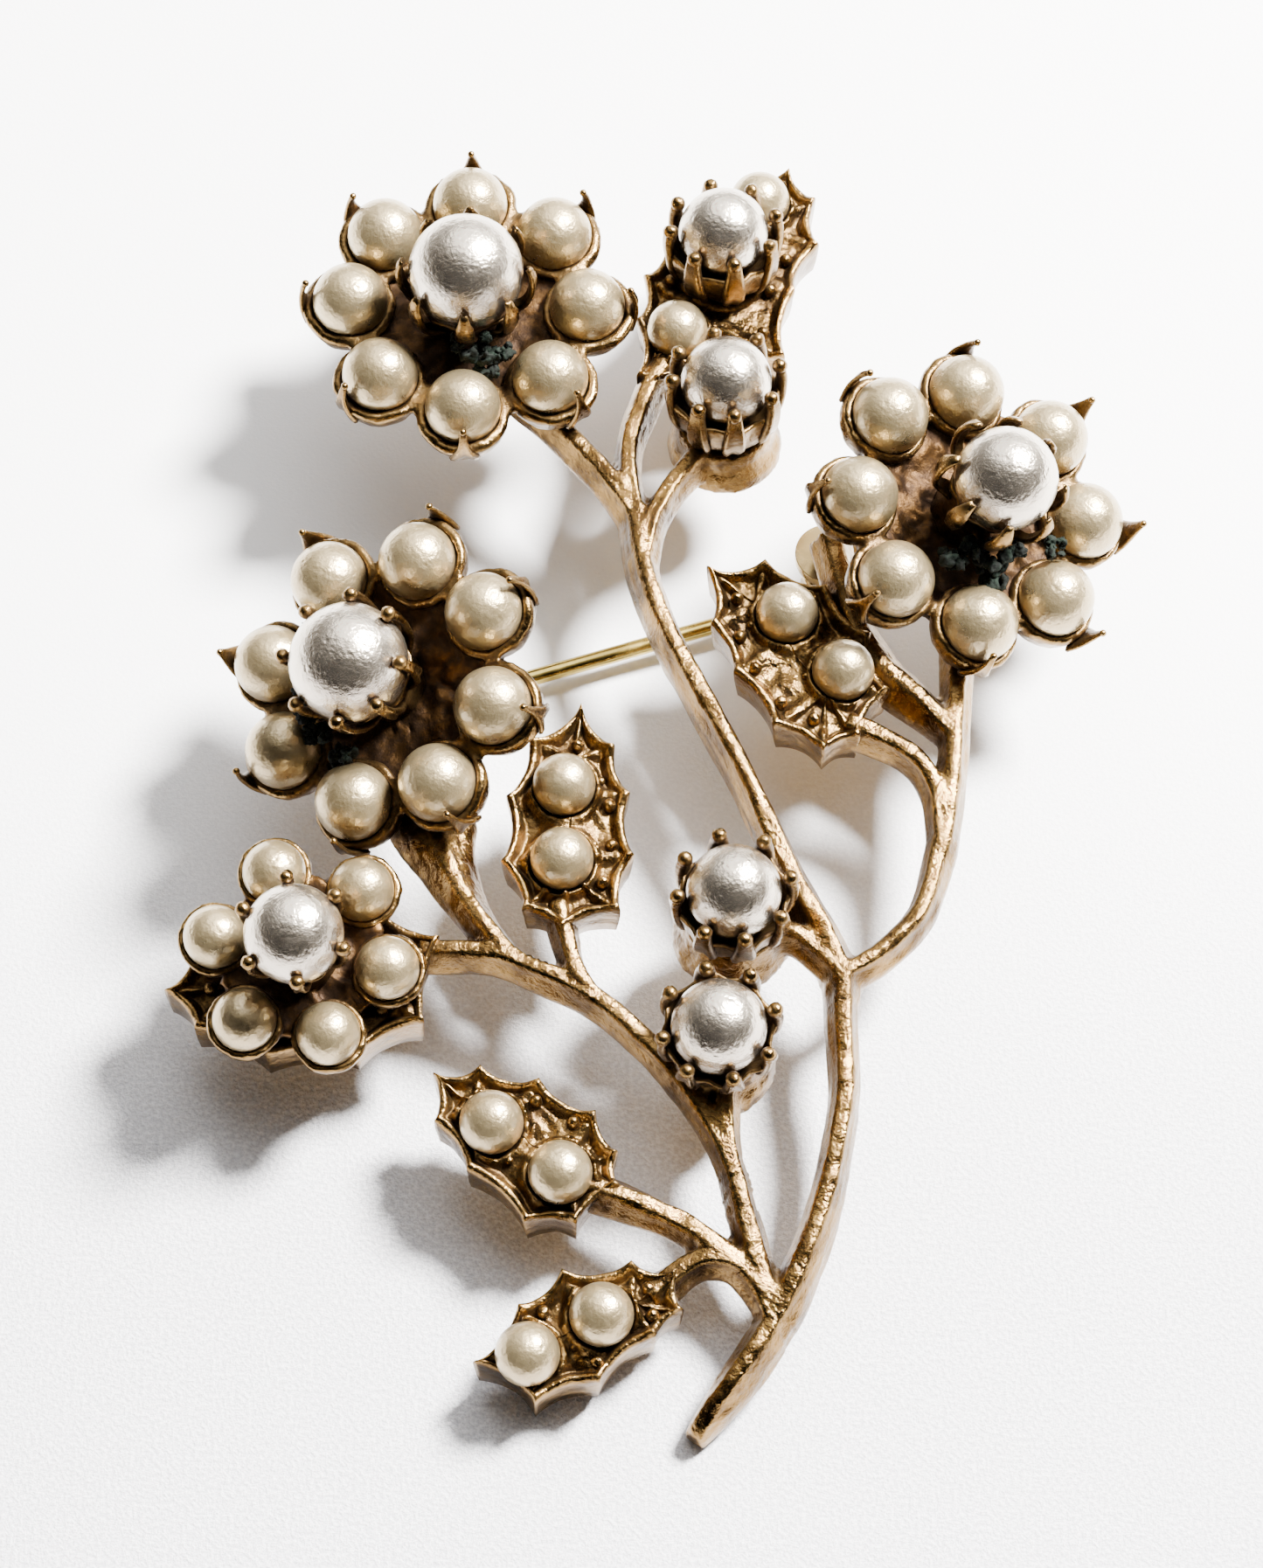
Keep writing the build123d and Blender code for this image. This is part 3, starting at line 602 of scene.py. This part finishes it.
# ---------------------------------------------------------------- leaves
def leaf_outline(teeth, per_side):
    """Tooth tips joined by hollow arcs, and for each point how near it is to a tip (1 at the tip)."""
    points, sharp = [], []
    centre = np.mean(teeth, axis=0)
    for a, b in zip(teeth, teeth[1:] + teeth[:1]):
        a, b = np.array(a, float), np.array(b, float)
        mid = (a + b) / 2
        inward = np.array([-(b - a)[1], (b - a)[0]])
        inward /= np.linalg.norm(inward)
        if np.dot(centre - mid, inward) < 0:
            inward = -inward
        depth = min(0.42, 0.09 * np.linalg.norm(b - a) + 0.10)
        for k in range(per_side):
            t = k / per_side
            points.append(a + (b - a) * t + inward * depth * 4 * t * (1 - t))
            sharp.append(max(0.0, 1 - 5.0 * min(t, 1 - t)))
    return np.array(points), np.array(sharp)


def leaf_spine(outline):
    """A short line along the middle of the leaf, towards which its rings close in."""
    middle = outline.mean(0)
    spread = outline - middle
    _, _, axes = np.linalg.svd(spread, full_matrices=False)
    along = spread @ axes[0]
    reach = 0.52 * (along.max() - along.min()) / 2
    centre = middle + axes[0] * (along.max() + along.min()) / 2
    return centre - axes[0] * reach, centre + axes[0] * reach


# (inset, height over the cast top) from the underside up the wall, over the rim and down to the floor
LEAF_EDGE = ((0.42, -CAST_DEPTH), (0.22, -CAST_DEPTH + 0.12), (0.10, -CAST_DEPTH * 0.62),
             (0.02, -CAST_DEPTH * 0.3), (-0.04, -0.30), (-0.02, -0.10), (0.06, 0.02), (0.20, 0.06),
             (0.34, 0.01), (0.44, -0.12), (0.54, -0.28), (0.66, -0.42))
LEAF_FLOOR_STEPS = 26


def leaf_rings(key, outline, sharp, pearls):
    """Closed rings over the whole leaf, from the middle of its underside to the middle of its floor."""
    start, end = leaf_spine(outline)
    line = end - start
    t = np.clip((outline - start) @ line / (line @ line), 0.0, 1.0)
    inward = start + t[:, None] * line - outline
    reach = np.linalg.norm(inward, axis=1)
    inward /= reach[:, None]

    def ring(offset, height, share=0.0):
        """A ring moved in by offset mm plus a share of the way to the spine."""
        move = np.minimum(offset + (reach - offset) * share, reach * 0.999)
        xy = outline + inward * move[:, None]
        return np.column_stack([xy, cast_top(xy[:, 0], xy[:, 1]) + height])

    rings = [ring(0.55, -CAST_DEPTH, share) for share in (1.0, 0.6, 0.3)]
    for offset, height in LEAF_EDGE:
        r = ring(offset, height)
        if height > -0.8:
            r[:, 2] += 0.28 * sharp
        rings.append(r)
    for k in range(1, LEAF_FLOOR_STEPS + 1):
        share = k / LEAF_FLOOR_STEPS
        r = ring(0.66, -0.48, share)
        spoke = np.clip(sharp * 1.5, 0, 1) * (1 - share) ** 0.7
        r[:, 2] += 0.42 * spoke + 0.12 * share
        r[:, 2] += 0.14 * fractal(r, 1.2, 3, ord(key))
        for px, py in pearls:
            d = np.hypot(r[:, 0] - px, r[:, 1] - py)
            r[:, 2] += 0.46 * np.exp(-(((d - 1.80) / 0.20) ** 2))
            r[:, 2] -= 0.5 * np.clip((1.6 - d) / 0.5, 0, 1)
        rings.append(r)
    rings = np.array(rings)
    flat = rings.reshape(-1, 3)
    flat += 0.035 * np.column_stack([noise3(flat, 1.6, s) for s in (1, 2, 3)])
    return flat.reshape(rings.shape)


def add_leaf_beads(shape, key, outline, pearls):
    """Small bead prongs in the corners of the leaf and beside its pearls."""
    corners = np.array(LEAVES[key], float)
    centre = corners.mean(0)
    for x, y in corners:
        spot = centre + (np.array([x, y]) - centre) * 0.66
        if len(pearls) and np.hypot(*(pearls - spot).T).min() < 2.15:
            continue
        z = float(cast_top(*spot))
        shape.ball((spot[0], spot[1], z - 0.22), 0.36, 3, (1, 1, 1.25), 0.08, int(abs(x * 10)))
    for px, py in pearls:
        for angle in (rng.uniform(0, 6.28), rng.uniform(0, 6.28)):
            spot = np.array([px + 1.95 * math.cos(angle), py + 1.95 * math.sin(angle)])
            if np.hypot(*(pearls - spot).T).min() < 1.9:
                continue
            if np.hypot(*(outline - spot).T).min() < 0.7:
                continue
            shape.ball((spot[0], spot[1], float(cast_top(*spot)) - 0.3), 0.24, 2)


def build_leaf(key):
    outline, sharp = leaf_outline(LEAVES[key], 18)
    pearls = np.array(LEAF_PEARLS[key]).reshape(-1, 2)
    shape = Shape()
    shape.loft(leaf_rings(key, outline, sharp, pearls))
    add_leaf_beads(shape, key, outline, pearls)
    obj = make_mesh(f"leaf_{key}", shape.verts, shape.faces)
    place(obj, "root", [], GOLD, "cast_gold")


# ---------------------------------------------------------------- flowers, cups and claws
def to_plane(origin, axes, local):
    """Plan points of (along u, along v, along the normal) measures from an origin."""
    u, v, n = axes
    local = np.asarray(local, float)
    return np.asarray(origin) + local[..., 0:1] * u + local[..., 1:2] * v + local[..., 2:3] * n


# outline of a claw's section, as shares of its half width and half thickness
CLAW_SECTION = ((-1, -0.2), (-0.8, -0.8), (-0.3, -1), (0.3, -1), (0.8, -0.8), (1, -0.2),
                (0.92, 0.55), (0.62, 0.85), (0.0, 1.0), (-0.62, 0.85), (-0.92, 0.55))


def add_claw(shape, origin, axes, angle, line, widths, thickness, hollow, bead, inside=1):
    """A claw that rises outside a pearl, its hollow face outwards, or inwards when inside is -1.

    line is (out, up) points in the plane of the bearing, and bead is the radius of the ball at the tip.
    """
    path = spline([(a, b, 0.0) for a, b in line], 0.22)[:, :2]
    share = np.linspace(0, 1, len(path))
    wide = np.interp(share, np.linspace(0, 1, len(widths)), widths)
    thick = np.interp(share, np.linspace(0, 1, len(thickness)), thickness)
    ahead = np.gradient(path, axis=0)
    ahead /= np.linalg.norm(ahead, axis=1)[:, None]
    c, s = math.cos(angle), math.sin(angle)
    out = np.array([c, s, 0.0])
    side = np.array([-s, c, 0.0])
    up = np.array([0.0, 0.0, 1.0])
    rings = []
    for (a, b), (da, db), w, t in zip(path, ahead, wide, thick):
        face = out * db - up * da
        middle = out * a + up * b
        ring = []
        for x, y in CLAW_SECTION:
            if x == 0:
                y -= hollow
            ring.append(middle + side * (x * w / 2) + face * (y * inside * t / 2))
        rings.append(to_plane(origin, axes, np.array(ring)))
    shape.loft(rings)
    if bead:
        a, b = path[-1]
        shape.ball(to_plane(origin, axes, out * a + up * b), bead, 2, (1, 1, 1), 0.06, int(angle * 50))


def turned(shape, origin, axes, profile, segments, flute=0.0, flutes=8, phase=0.0, rough=0.0, seed=0,
           shift=None):
    """A turned surface from (radius, height) points, closed, with optional flutes and roughness."""
    angles = np.linspace(0, 2 * math.pi, segments, endpoint=False)
    widest = max(radius for radius, _ in profile)
    rings = []
    for radius, height in profile:
        r = radius * (1 + flute * np.cos(flutes * (angles - phase)) * min(1.0, radius / widest))
        level = np.full(segments, float(height))
        rings.append(np.column_stack([r * np.cos(angles), r * np.sin(angles), level]))
    rings = np.array(rings)
    if shift is not None:
        rings += np.array(shift)
    if rough:
        flat = rings.reshape(-1, 3)
        flat += rough * np.column_stack([fractal(flat, 1.5, 2, seed + s) for s in (1, 2, 3)])
        rings = flat.reshape(rings.shape)
    shape.loft(to_plane(origin, axes, rings))


# claw lines, in (out from the pearl's middle, up) millimetres for a pearl of radius CLAW_PEARL
CLAW_PEARL = 2.05
PRESSING = ((2.36, -1.3), (2.60, -0.5), (2.64, 0.2), (2.55, 0.85), (2.36, 1.42))
HORN = ((2.42, -1.3), (2.72, -0.5), (2.84, 0.1), (2.92, 0.6), (2.98, 1.0))
STUB = ((2.42, -1.3), (2.68, -0.5), (2.78, 0.0), (2.82, 0.4), (2.84, 0.75))
HORNS = {1: (), 2: (0, 7, 1), 3: (2, 3, 1)}  # the petals of each large flower whose claws stand off
ROUGH_PLATE = {1: 0.16, 2: 0.24, 3: 0.24, 4: 0.24}


def build_petal_cups(n):
    """One hollow cup under each petal pearl, a little wider on its outer side."""
    centre, lean, bearing, ring_radius, _, _, bearings = FLOWERS[n]
    axes = tilted_axes(lean, bearing)
    size = PETAL_RADIUS[n] / CLAW_PEARL
    gap = CUP_GAP[n]
    bowl = [(0.15, -2.5), (1.2, -2.44), (1.9, -2.1), (2.26, -1.5), (2.36 + gap * 0.6, -0.9),
            (2.38 + gap, -0.55), (2.32 + gap, -0.36), (2.15, -0.24), (2.02, -0.26), (1.84, -0.9),
            (1.6, -1.28), (1.1, -1.7), (0.1, -1.9)]
    bowl = [(r * size, max(h * size, -plate_bottom(n))) for r, h in bowl]
    cups = Shape()
    for i, degrees in enumerate(bearings):
        angle = math.radians(degrees)
        spot = np.array([math.cos(angle), math.sin(angle), 0.0]) * (ring_radius + 0.5 * gap)
        turned(cups, centre, axes, bowl, 44, rough=0.04, seed=n * 10 + i, shift=spot)
    obj = make_mesh(f"flower_{n}_petal_cups", cups.verts, cups.faces)
    remesh(obj, 0.19, 2)
    co = coordinates(obj.data)
    co += normals(obj.data) * (0.05 * fractal(co, 1.4, 3, n))[:, None]
    obj.data.vertices.foreach_set("co", co.ravel())
    place(obj, "root", [], CUP_GOLD, "cast_gold")


def build_plate(n):
    """The rough plate between the cups, which rises to their rims in the gaps."""
    centre, lean, bearing, ring_radius, *_ = FLOWERS[n]
    bottom = plate_bottom(n)
    inner = ring_radius - 0.5 * PETAL_RADIUS[n] / CLAW_PEARL
    disc = [(0.2, -bottom), (inner * 0.8, -bottom), (inner, -bottom + 0.3), (inner * 1.04, -bottom + 1.1),
            (inner * 1.02, -bottom + 1.62), (inner * 0.86, -bottom + 1.66), (inner * 0.7, -bottom + 1.5),
            (inner * 0.5, -bottom + 1.35), (0.2, -bottom + 1.3)]
    disc = spline([(r, h, 0.0) for r, h in disc], 0.25)[:, :2]
    plate = Shape()
    turned(plate, centre, tilted_axes(lean, bearing), disc, 120, rough=ROUGH_PLATE[n], seed=n)
    obj = make_mesh(f"flower_{n}_plate_v", plate.verts, plate.faces)
    # The plate takes the darker gold: painted shade between the pearls.
    place(obj, "root", [f"flower_{n}_plate"], SHADOWED_PLATE_GOLD, "cast_gold")


def build_outer_claws(n):
    """One claw outside each petal pearl: most press on it, the horns stand off."""
    centre, lean, bearing, ring_radius, _, _, bearings = FLOWERS[n]
    axes = tilted_axes(lean, bearing)
    shape = Shape()
    for i, degrees in enumerate(bearings):
        angle = math.radians(degrees)
        wobble = rng.uniform(-0.08, 0.08)
        if i in HORNS[n]:
            points = STUB if n == 3 else HORN
            widths, thick = (2.1, 1.6, 1.0, 0.6, 0.4), (0.45, 0.4, 0.34, 0.26, 0.12)
        else:
            points = PRESSING
            widths, thick = (1.7, 1.3, 0.8, 0.48, 0.3), (0.42, 0.36, 0.32, 0.3, 0.26)
        line = [(a + wobble * 0.1 * k, b * rng.uniform(0.97, 1.05)) for k, (a, b) in enumerate(points)]
        out = np.array([math.cos(angle), math.sin(angle), 0.0])
        pearl = to_plane(centre, axes, out * ring_radius)
        add_claw(shape, pearl, axes, angle + wobble, line, widths, thick, 0.9, 0.2)
    obj = make_mesh(f"flower_{n}_claws", shape.verts, shape.faces)
    place(obj, "root", [], CUP_GOLD, "cast_gold")


def build_flower(n):
    centre, lean, bearing, _, rise, centre_radius, _ = FLOWERS[n]
    axes = tilted_axes(lean, bearing)
    build_petal_cups(n)
    build_plate(n)
    if n in HORNS:
        build_outer_claws(n)
    build_claw_cup(f"flower_{n}_centre_cup", np.array(centre) + rise * axes[2], axes, centre_radius,
                   rise + plate_bottom(n) - 1.2, CENTRE_CLAWS[n], spoon=(n in (1, 2)), n=n)


def build_claw_cup(name, origin, axes, radius, foot_depth, claws, spoon, n):
    """The cup of a centre pearl on its stalk, with spoon-shaped or bead-tipped claws."""
    shape = Shape()
    k = radius / 3.1  # the lines below are drawn for a pearl of radius 3.1
    cup = [(0.2, -foot_depth), (1.75, -foot_depth), (1.9, -foot_depth + 0.25), (1.75, -foot_depth + 0.8),
           (2.1 * k, -2.9 * k), (2.5 * k, -2.3 * k), (2.72 * k, -1.8 * k), (2.78 * k, -1.55 * k),
           (2.66 * k, -1.5 * k), (2.45 * k, -1.8 * k), (2.0 * k, -2.3 * k), (0.2, -2.75 * k)]
    turned(shape, origin, axes, cup, 72, 0.035, claws, 0.0, 0.05, n)
    for i in range(claws):
        angle = 2 * math.pi * i / claws + 0.70 + rng.uniform(-0.08, 0.08)
        if spoon:
            splay = 0.3 if n == 2 else 0.0
            line = [(2.1 * k, -3.4 * k), ((3.0 + splay) * k, -2.6 * k), ((3.42 + splay) * k, -1.5 * k),
                    ((3.58 + splay) * k, -0.4 * k), ((3.56 + 0.6 * splay) * k, 0.3 * k), (3.36 * k, 0.85 * k)]
            widths = (1.1, 0.8, 0.8, 1.1, 1.0, 0.4)
            thick = (0.44, 0.42, 0.4, 0.4, 0.4, 0.26)
            add_claw(shape, origin, axes, angle, line, widths, thick, 1.2, 0, -1)
        else:
            line = [(2.1 * k, -3.2 * k), (2.9 * k, -2.3 * k), (3.3 * k, -1.2 * k), (3.46 * k, -0.3 * k),
                    (3.46 * k, 0.4 * k), (3.34 * k, 0.9 * k)]
            widths = (1.2, 1.0, 0.8, 0.66, 0.6, 0.6)
            add_claw(shape, origin, axes, angle, line, widths, (0.45, 0.4, 0.4, 0.42, 0.45), 0.6, 0.41)
    obj = make_mesh(name + "_v", shape.verts, shape.faces)
    place(obj, "root", [name], CUP_GOLD, "cast_gold")


def build_bud(n):
    centre, lean, bearing = BUDS[n]
    axes = tilted_axes(lean, bearing)
    shape = Shape()
    cup = [(0.2, -3.3), (1.9, -3.3), (2.35, -3.1), (2.62, -2.7), (2.76, -2.2), (2.84, -1.6), (2.92, -1.1),
           (2.90, -0.86), (2.76, -0.82), (2.6, -1.0), (2.35, -1.4), (1.9, -1.9), (1.2, -2.3), (0.2, -2.5)]
    turned(shape, centre, axes, cup, 96, 0.05, 8, 0.2, 0.10, 20 + n)
    for i in range(8):
        angle = 2 * math.pi * i / 8 + 0.2 + rng.uniform(-0.06, 0.06)
        line = [(2.3, -3.1), (2.75, -2.3), (2.95, -1.5), (3.04, -0.7), (3.04, 0.0), (2.92, 0.6)]
        widths = (1.0, 1.3, 1.3, 1.15, 0.95, 0.74)
        add_claw(shape, centre, axes, angle, line, widths, (0.6, 0.6), 0.5, 0.42)
    obj = make_mesh(f"bud_{n}_cup_v", shape.verts, shape.faces)
    place(obj, "root", [f"bud_{n}_cup"], CUP_GOLD, "cast_gold")


# ---------------------------------------------------------------- pearls
PEARL_LEVEL = 4
WHITE_FINISH = (WHITE_PEARL, "white_pearl")  # material and slot
CREAM_FINISH = (CREAM_PEARL, "cream_pearl")


def build_pearl(node, centres, radius, finish, seed):
    """The pearls of one CAD node, each very slightly out of round."""
    shape = Shape()
    verts, faces = ICO[PEARL_LEVEL]
    for k, centre in enumerate(centres):
        shift = seed * 5.3 + k * 2.1
        swell = 1 + 0.007 * fractal(verts + shift, 1.2, 2, seed) - 0.004
        shape.add(verts * (radius * swell)[:, None] + np.array(centre), faces)
    obj = make_mesh(node + "_v", shape.verts, shape.faces)
    place(obj, "root", [node], *finish)


def petal_spots(n):
    """The middles of a flower's petal pearls."""
    centre, lean, bearing, ring_radius, _, _, bearings = FLOWERS[n]
    axes = tilted_axes(lean, bearing)
    angles = [math.radians(degrees) for degrees in bearings]
    return [to_plane(centre, axes, (ring_radius * math.cos(a), ring_radius * math.sin(a), 0.0))
            for a in angles]


def build_pearls():
    seed = 0
    for n, (centre, lean, bearing, _, rise, radius, _) in FLOWERS.items():
        middle = np.array(centre) + rise * tilted_axes(lean, bearing)[2]
        build_pearl(f"flower_{n}_centre_pearl", [middle], radius, WHITE_FINISH, n)
        if n == 4:
            build_pearl("flower_4_petal_pearls", petal_spots(n), PETAL_RADIUS[n], CREAM_FINISH, 40)
            continue
        for i, spot in enumerate(petal_spots(n), start=1):
            seed += 1
            build_pearl(f"flower_{n}_petal_pearl_{i}", [spot], PETAL_RADIUS[n], CREAM_FINISH, seed)
    for n, (centre, *_) in BUDS.items():
        build_pearl(f"bud_{n}_pearl", [centre], BUD_RADIUS, WHITE_FINISH, 50 + n)
    for key, spots in LEAF_PEARLS.items():
        if spots:
            centres = [(x, y, float(cast_top(x, y)) + LEAF_PEARL_RISE) for x, y in spots]
            build_pearl(f"leaf_{key}_pearls", centres, LEAF_PEARL_RADIUS, CREAM_FINISH, 60 + ord(key))


# ---------------------------------------------------------------- verdigris crust
CRUST = {
    # flower: heaps at (out, bearing, up) from the middle of the centre pearl, and their size
    1: ((3.3, 285, -1.9, 0.45), (3.6, 275, -2.4, 0.5), (4.1, 290, -2.5, 0.55), (3.4, 262, -1.6, 0.4),
        (4.6, 283, -3.0, 0.5), (3.9, 300, -2.7, 0.45)),
    2: ((3.4, 262, -2.4, 0.75), (3.9, 245, -3.0, 0.6), (4.2, 275, -3.0, 0.7), (3.2, 290, -1.8, 0.5),
        (4.6, 330, -2.6, 0.45)),
    3: ((3.9, 205, -2.8, 0.55), (4.2, 222, -3.1, 0.6), (4.4, 245, -3.3, 0.5), (4.0, 190, -2.9, 0.45)),
}
LUMPS_PER_HEAP = 9


def build_crust(n):
    """Heaps of small ragged lumps beside the centre cup."""
    centre, lean, bearing, _, rise, _, _ = FLOWERS[n]
    axes = tilted_axes(lean, bearing)
    origin = np.array(centre) + rise * axes[2]
    shape = Shape()
    for k, (out, degrees, up, size) in enumerate(CRUST[n]):
        angle = math.radians(degrees)
        spot = to_plane(origin, axes, (out * math.cos(angle), out * math.sin(angle), up))
        for j in range(LUMPS_PER_HEAP):
            jump = np.array([rng.uniform(-1, 1), rng.uniform(-1, 1), rng.uniform(-0.8, 0.8)]) * size * 0.9
            flat = (rng.uniform(0.6, 1.2), rng.uniform(0.6, 1.2), rng.uniform(0.5, 1.3))
            shape.ball(spot + jump, size * rng.uniform(0.35, 0.72), 3, flat, 0.6, k * 6 + j)
    obj = make_mesh(f"flower_{n}_verdigris", shape.verts, shape.faces)
    place(obj, "root", [], VERDIGRIS, "cast_gold")


# ---------------------------------------------------------------- findings
WIRE_RADIUS = 0.45
WIRE_START = 0.6          # along the pin, from the rivet's middle
POINT_START = 21.6
KNUCKLE = ((0.42, -0.42), (0.6, -0.5), (1.0, -0.5), (1.1, -0.4), (1.1, 0.4), (1.0, 0.5), (0.6, 0.5),
           (0.42, 0.42))  # (radius, sideways) of the pin's eye
WELD_DISTANCE = 0.002 * MM
EDGE_WIDTH = 0.06 * MM


def wire_radius(s):
    """Thick at the knuckle, even along the wire, and drawn to a point."""
    if s > POINT_START:
        return WIRE_RADIUS - 0.35 * ((s - POINT_START) / (PIN_LENGTH - POINT_START)) ** 1.3
    return WIRE_RADIUS + 0.08 * max(0.0, 1 - (s - WIRE_START) / 1.4)


def build_pin():
    shape = Shape()
    a = math.radians(PIN_BEARING)
    pivot = np.array(PIVOT)
    along = np.array([math.cos(a), math.sin(a), 0.0])
    side = np.array([-math.sin(a), math.cos(a), 0.0])
    up = np.array([0.0, 0.0, 1.0])
    turn = np.linspace(0, 2 * math.pi, 24, endpoint=False)
    rings = []
    for s in np.concatenate([np.linspace(WIRE_START, 21.0, 60), np.linspace(21.2, PIN_LENGTH, 36)]):
        radius = wire_radius(s)
        middle = pivot + along * s
        rings.append([middle + side * radius * math.cos(t) + up * radius * math.sin(t) for t in turn])
    shape.loft(rings)
    turn = np.linspace(0, 2 * math.pi, 48, endpoint=False)
    shape.loft([[pivot + side * h + (along * math.cos(t) + up * math.sin(t)) * r for t in turn]
                for r, h in KNUCKLE])
    obj = make_mesh("pin_wire_v", shape.verts, shape.faces)
    place(obj, "pin", ["pin_stem"], WIRE, "pin_wire")


def dress_findings():
    """Metal finish and slightly rounded edges for the findings, whose shapes are the CAD's own."""
    for name in ("hinge_bracket", "hinge_rivet", "catch_body", "catch_rotor"):
        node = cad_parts[name]
        node.data.materials.clear()
        node.data.materials.append(FINDING)
        weld = node.modifiers.new("weld", "WELD")
        weld.merge_threshold = WELD_DISTANCE
        bevel = node.modifiers.new("edges", "BEVEL")
        bevel.width = EDGE_WIDTH
        bevel.segments = 2
        bevel.limit_method = "ANGLE"
        bevel.angle_limit = math.radians(40)


build_stems()
for key in LEAVES:
    build_leaf(key)
for n in FLOWERS:
    build_flower(n)
    if n in CRUST:
        build_crust(n)
for n in BUDS:
    build_bud(n)
build_pearls()
build_pin()
dress_findings()


# ---------------------------------------------------------------- floor and lights
FLOOR_HALF = 0.9


def build_floor():
    mesh = bpy.data.meshes.new("paper_floor")
    corners = [(FLOOR_HALF * x, FLOOR_HALF * y, 0) for x, y in ((-1, -1), (1, -1), (1, 1), (-1, 1))]
    mesh.from_pydata(corners, [], [(0, 1, 2, 3)])
    obj = bpy.data.objects.new("paper_floor", mesh)
    bpy.context.scene.collection.objects.link(obj)
    material, tree, shader = new_material("paper")
    n = Nodes(tree)
    grain = n.noise(4300.0, 4.0, 0.65)
    # Painted light: from 3 cm in front of the middle to 2 cm behind it the paper fades to flat near-white and
    # its grain smooths away, standing in for the back of the floor washed out by the lamps.
    far = n.spread(n.upward(), -0.03, 0.02)
    colour = n.mix(n.spread(grain, 0.38, 0.66), (0.66, 0.655, 0.69), (0.90, 0.89, 0.915))
    colour = n.mix(far, colour, (0.94, 0.94, 0.95))
    grain = n.math("MULTIPLY", grain, n.spread(far, 0.0, 1.0, 1.0, 0.15))
    tree.links.new(colour, shader.inputs["Base Color"])
    shader.inputs["Roughness"].default_value = 0.55
    shader.inputs["Specular IOR Level"].default_value = 0.35
    tree.links.new(n.bump(grain, 0.15 * MM), shader.inputs["Normal"])
    mesh.materials.append(material)


def add_area(name, location, target, size, power, colour):
    light = bpy.data.lights.new(name, "AREA")
    light.shape = "DISK"
    light.size = size
    light.energy = power
    light.color = colour
    obj = bpy.data.objects.new(name, light)
    obj.location = location
    obj.rotation_euler = (Vector(target) - Vector(location)).to_track_quat("-Z", "Y").to_euler()
    bpy.context.scene.collection.objects.link(obj)


build_floor()
add_area("key", (0.25, 0.175, 0.395), (0, 0, 0.005), 0.13, 28.0, (1.0, 0.98, 0.95))
add_area("back", (0.12, 0.42, 0.52), (0, 0.02, 0.0), 0.9, 5.5, (1.0, 1.0, 1.0))

# ---------------------------------------------------------------- surroundings
world = bpy.data.worlds.new("studio")
world.use_nodes = True
sky = Nodes(world.node_tree)
outward = world.node_tree.nodes["Texture Coordinate"].outputs["Generated"]


def facing(vector):
    """How nearly a direction in the room points along vector."""
    n = world.node_tree.nodes.new("ShaderNodeVectorMath")
    n.operation = "DOT_PRODUCT"
    n.inputs[1].default_value = vector
    world.node_tree.links.new(outward, n.inputs[0])
    return n.outputs["Value"]


# a room that is bright behind and to the right, and dark where someone stands in front
window = sky.spread(facing((0.20, 0.62, 0.76)), 0.35, 0.95)
person = sky.spread(facing((-0.20, -0.86, 0.47)), 0.40, 0.95)
level = sky.spread(facing((0.0, 0.0, 1.0)), 0.05, 0.55)
tone = sky.mix(level, (1.0, 0.95, 0.90), (0.115, 0.103, 0.092))
tone = sky.mix(window, tone, (2.9, 2.84, 2.78))
tone = sky.mix(person, tone, (0.008, 0.006, 0.005))
world.node_tree.links.new(tone, world.node_tree.nodes["Background"].inputs["Color"])
world.node_tree.nodes["Background"].inputs["Strength"].default_value = 0.32
bpy.context.scene.world = world

# ---------------------------------------------------------------- camera
CAMERA_TILT = math.radians(27.0)  # from straight above
CAMERA_DISTANCE = 255.0
AIM_HEIGHT = 8.0

camera_data = bpy.data.cameras.new("camera")
camera_data.sensor_fit = "HORIZONTAL"
camera_data.sensor_width = 36.0
camera_data.lens = 139.76
camera_data.clip_start = 0.01
camera_data.clip_end = 10.0
camera = bpy.data.objects.new("camera", camera_data)
bpy.context.scene.collection.objects.link(camera)
target = Vector((PLAN_TO_FRAME[0], PLAN_TO_FRAME[1], AIM_HEIGHT)) * MM
back_off = Vector((0.0, -math.sin(CAMERA_TILT), math.cos(CAMERA_TILT)))
camera.location = target + back_off * CAMERA_DISTANCE * MM
camera.rotation_euler = (target - camera.location).to_track_quat("-Z", "Y").to_euler()
bpy.context.scene.camera = camera
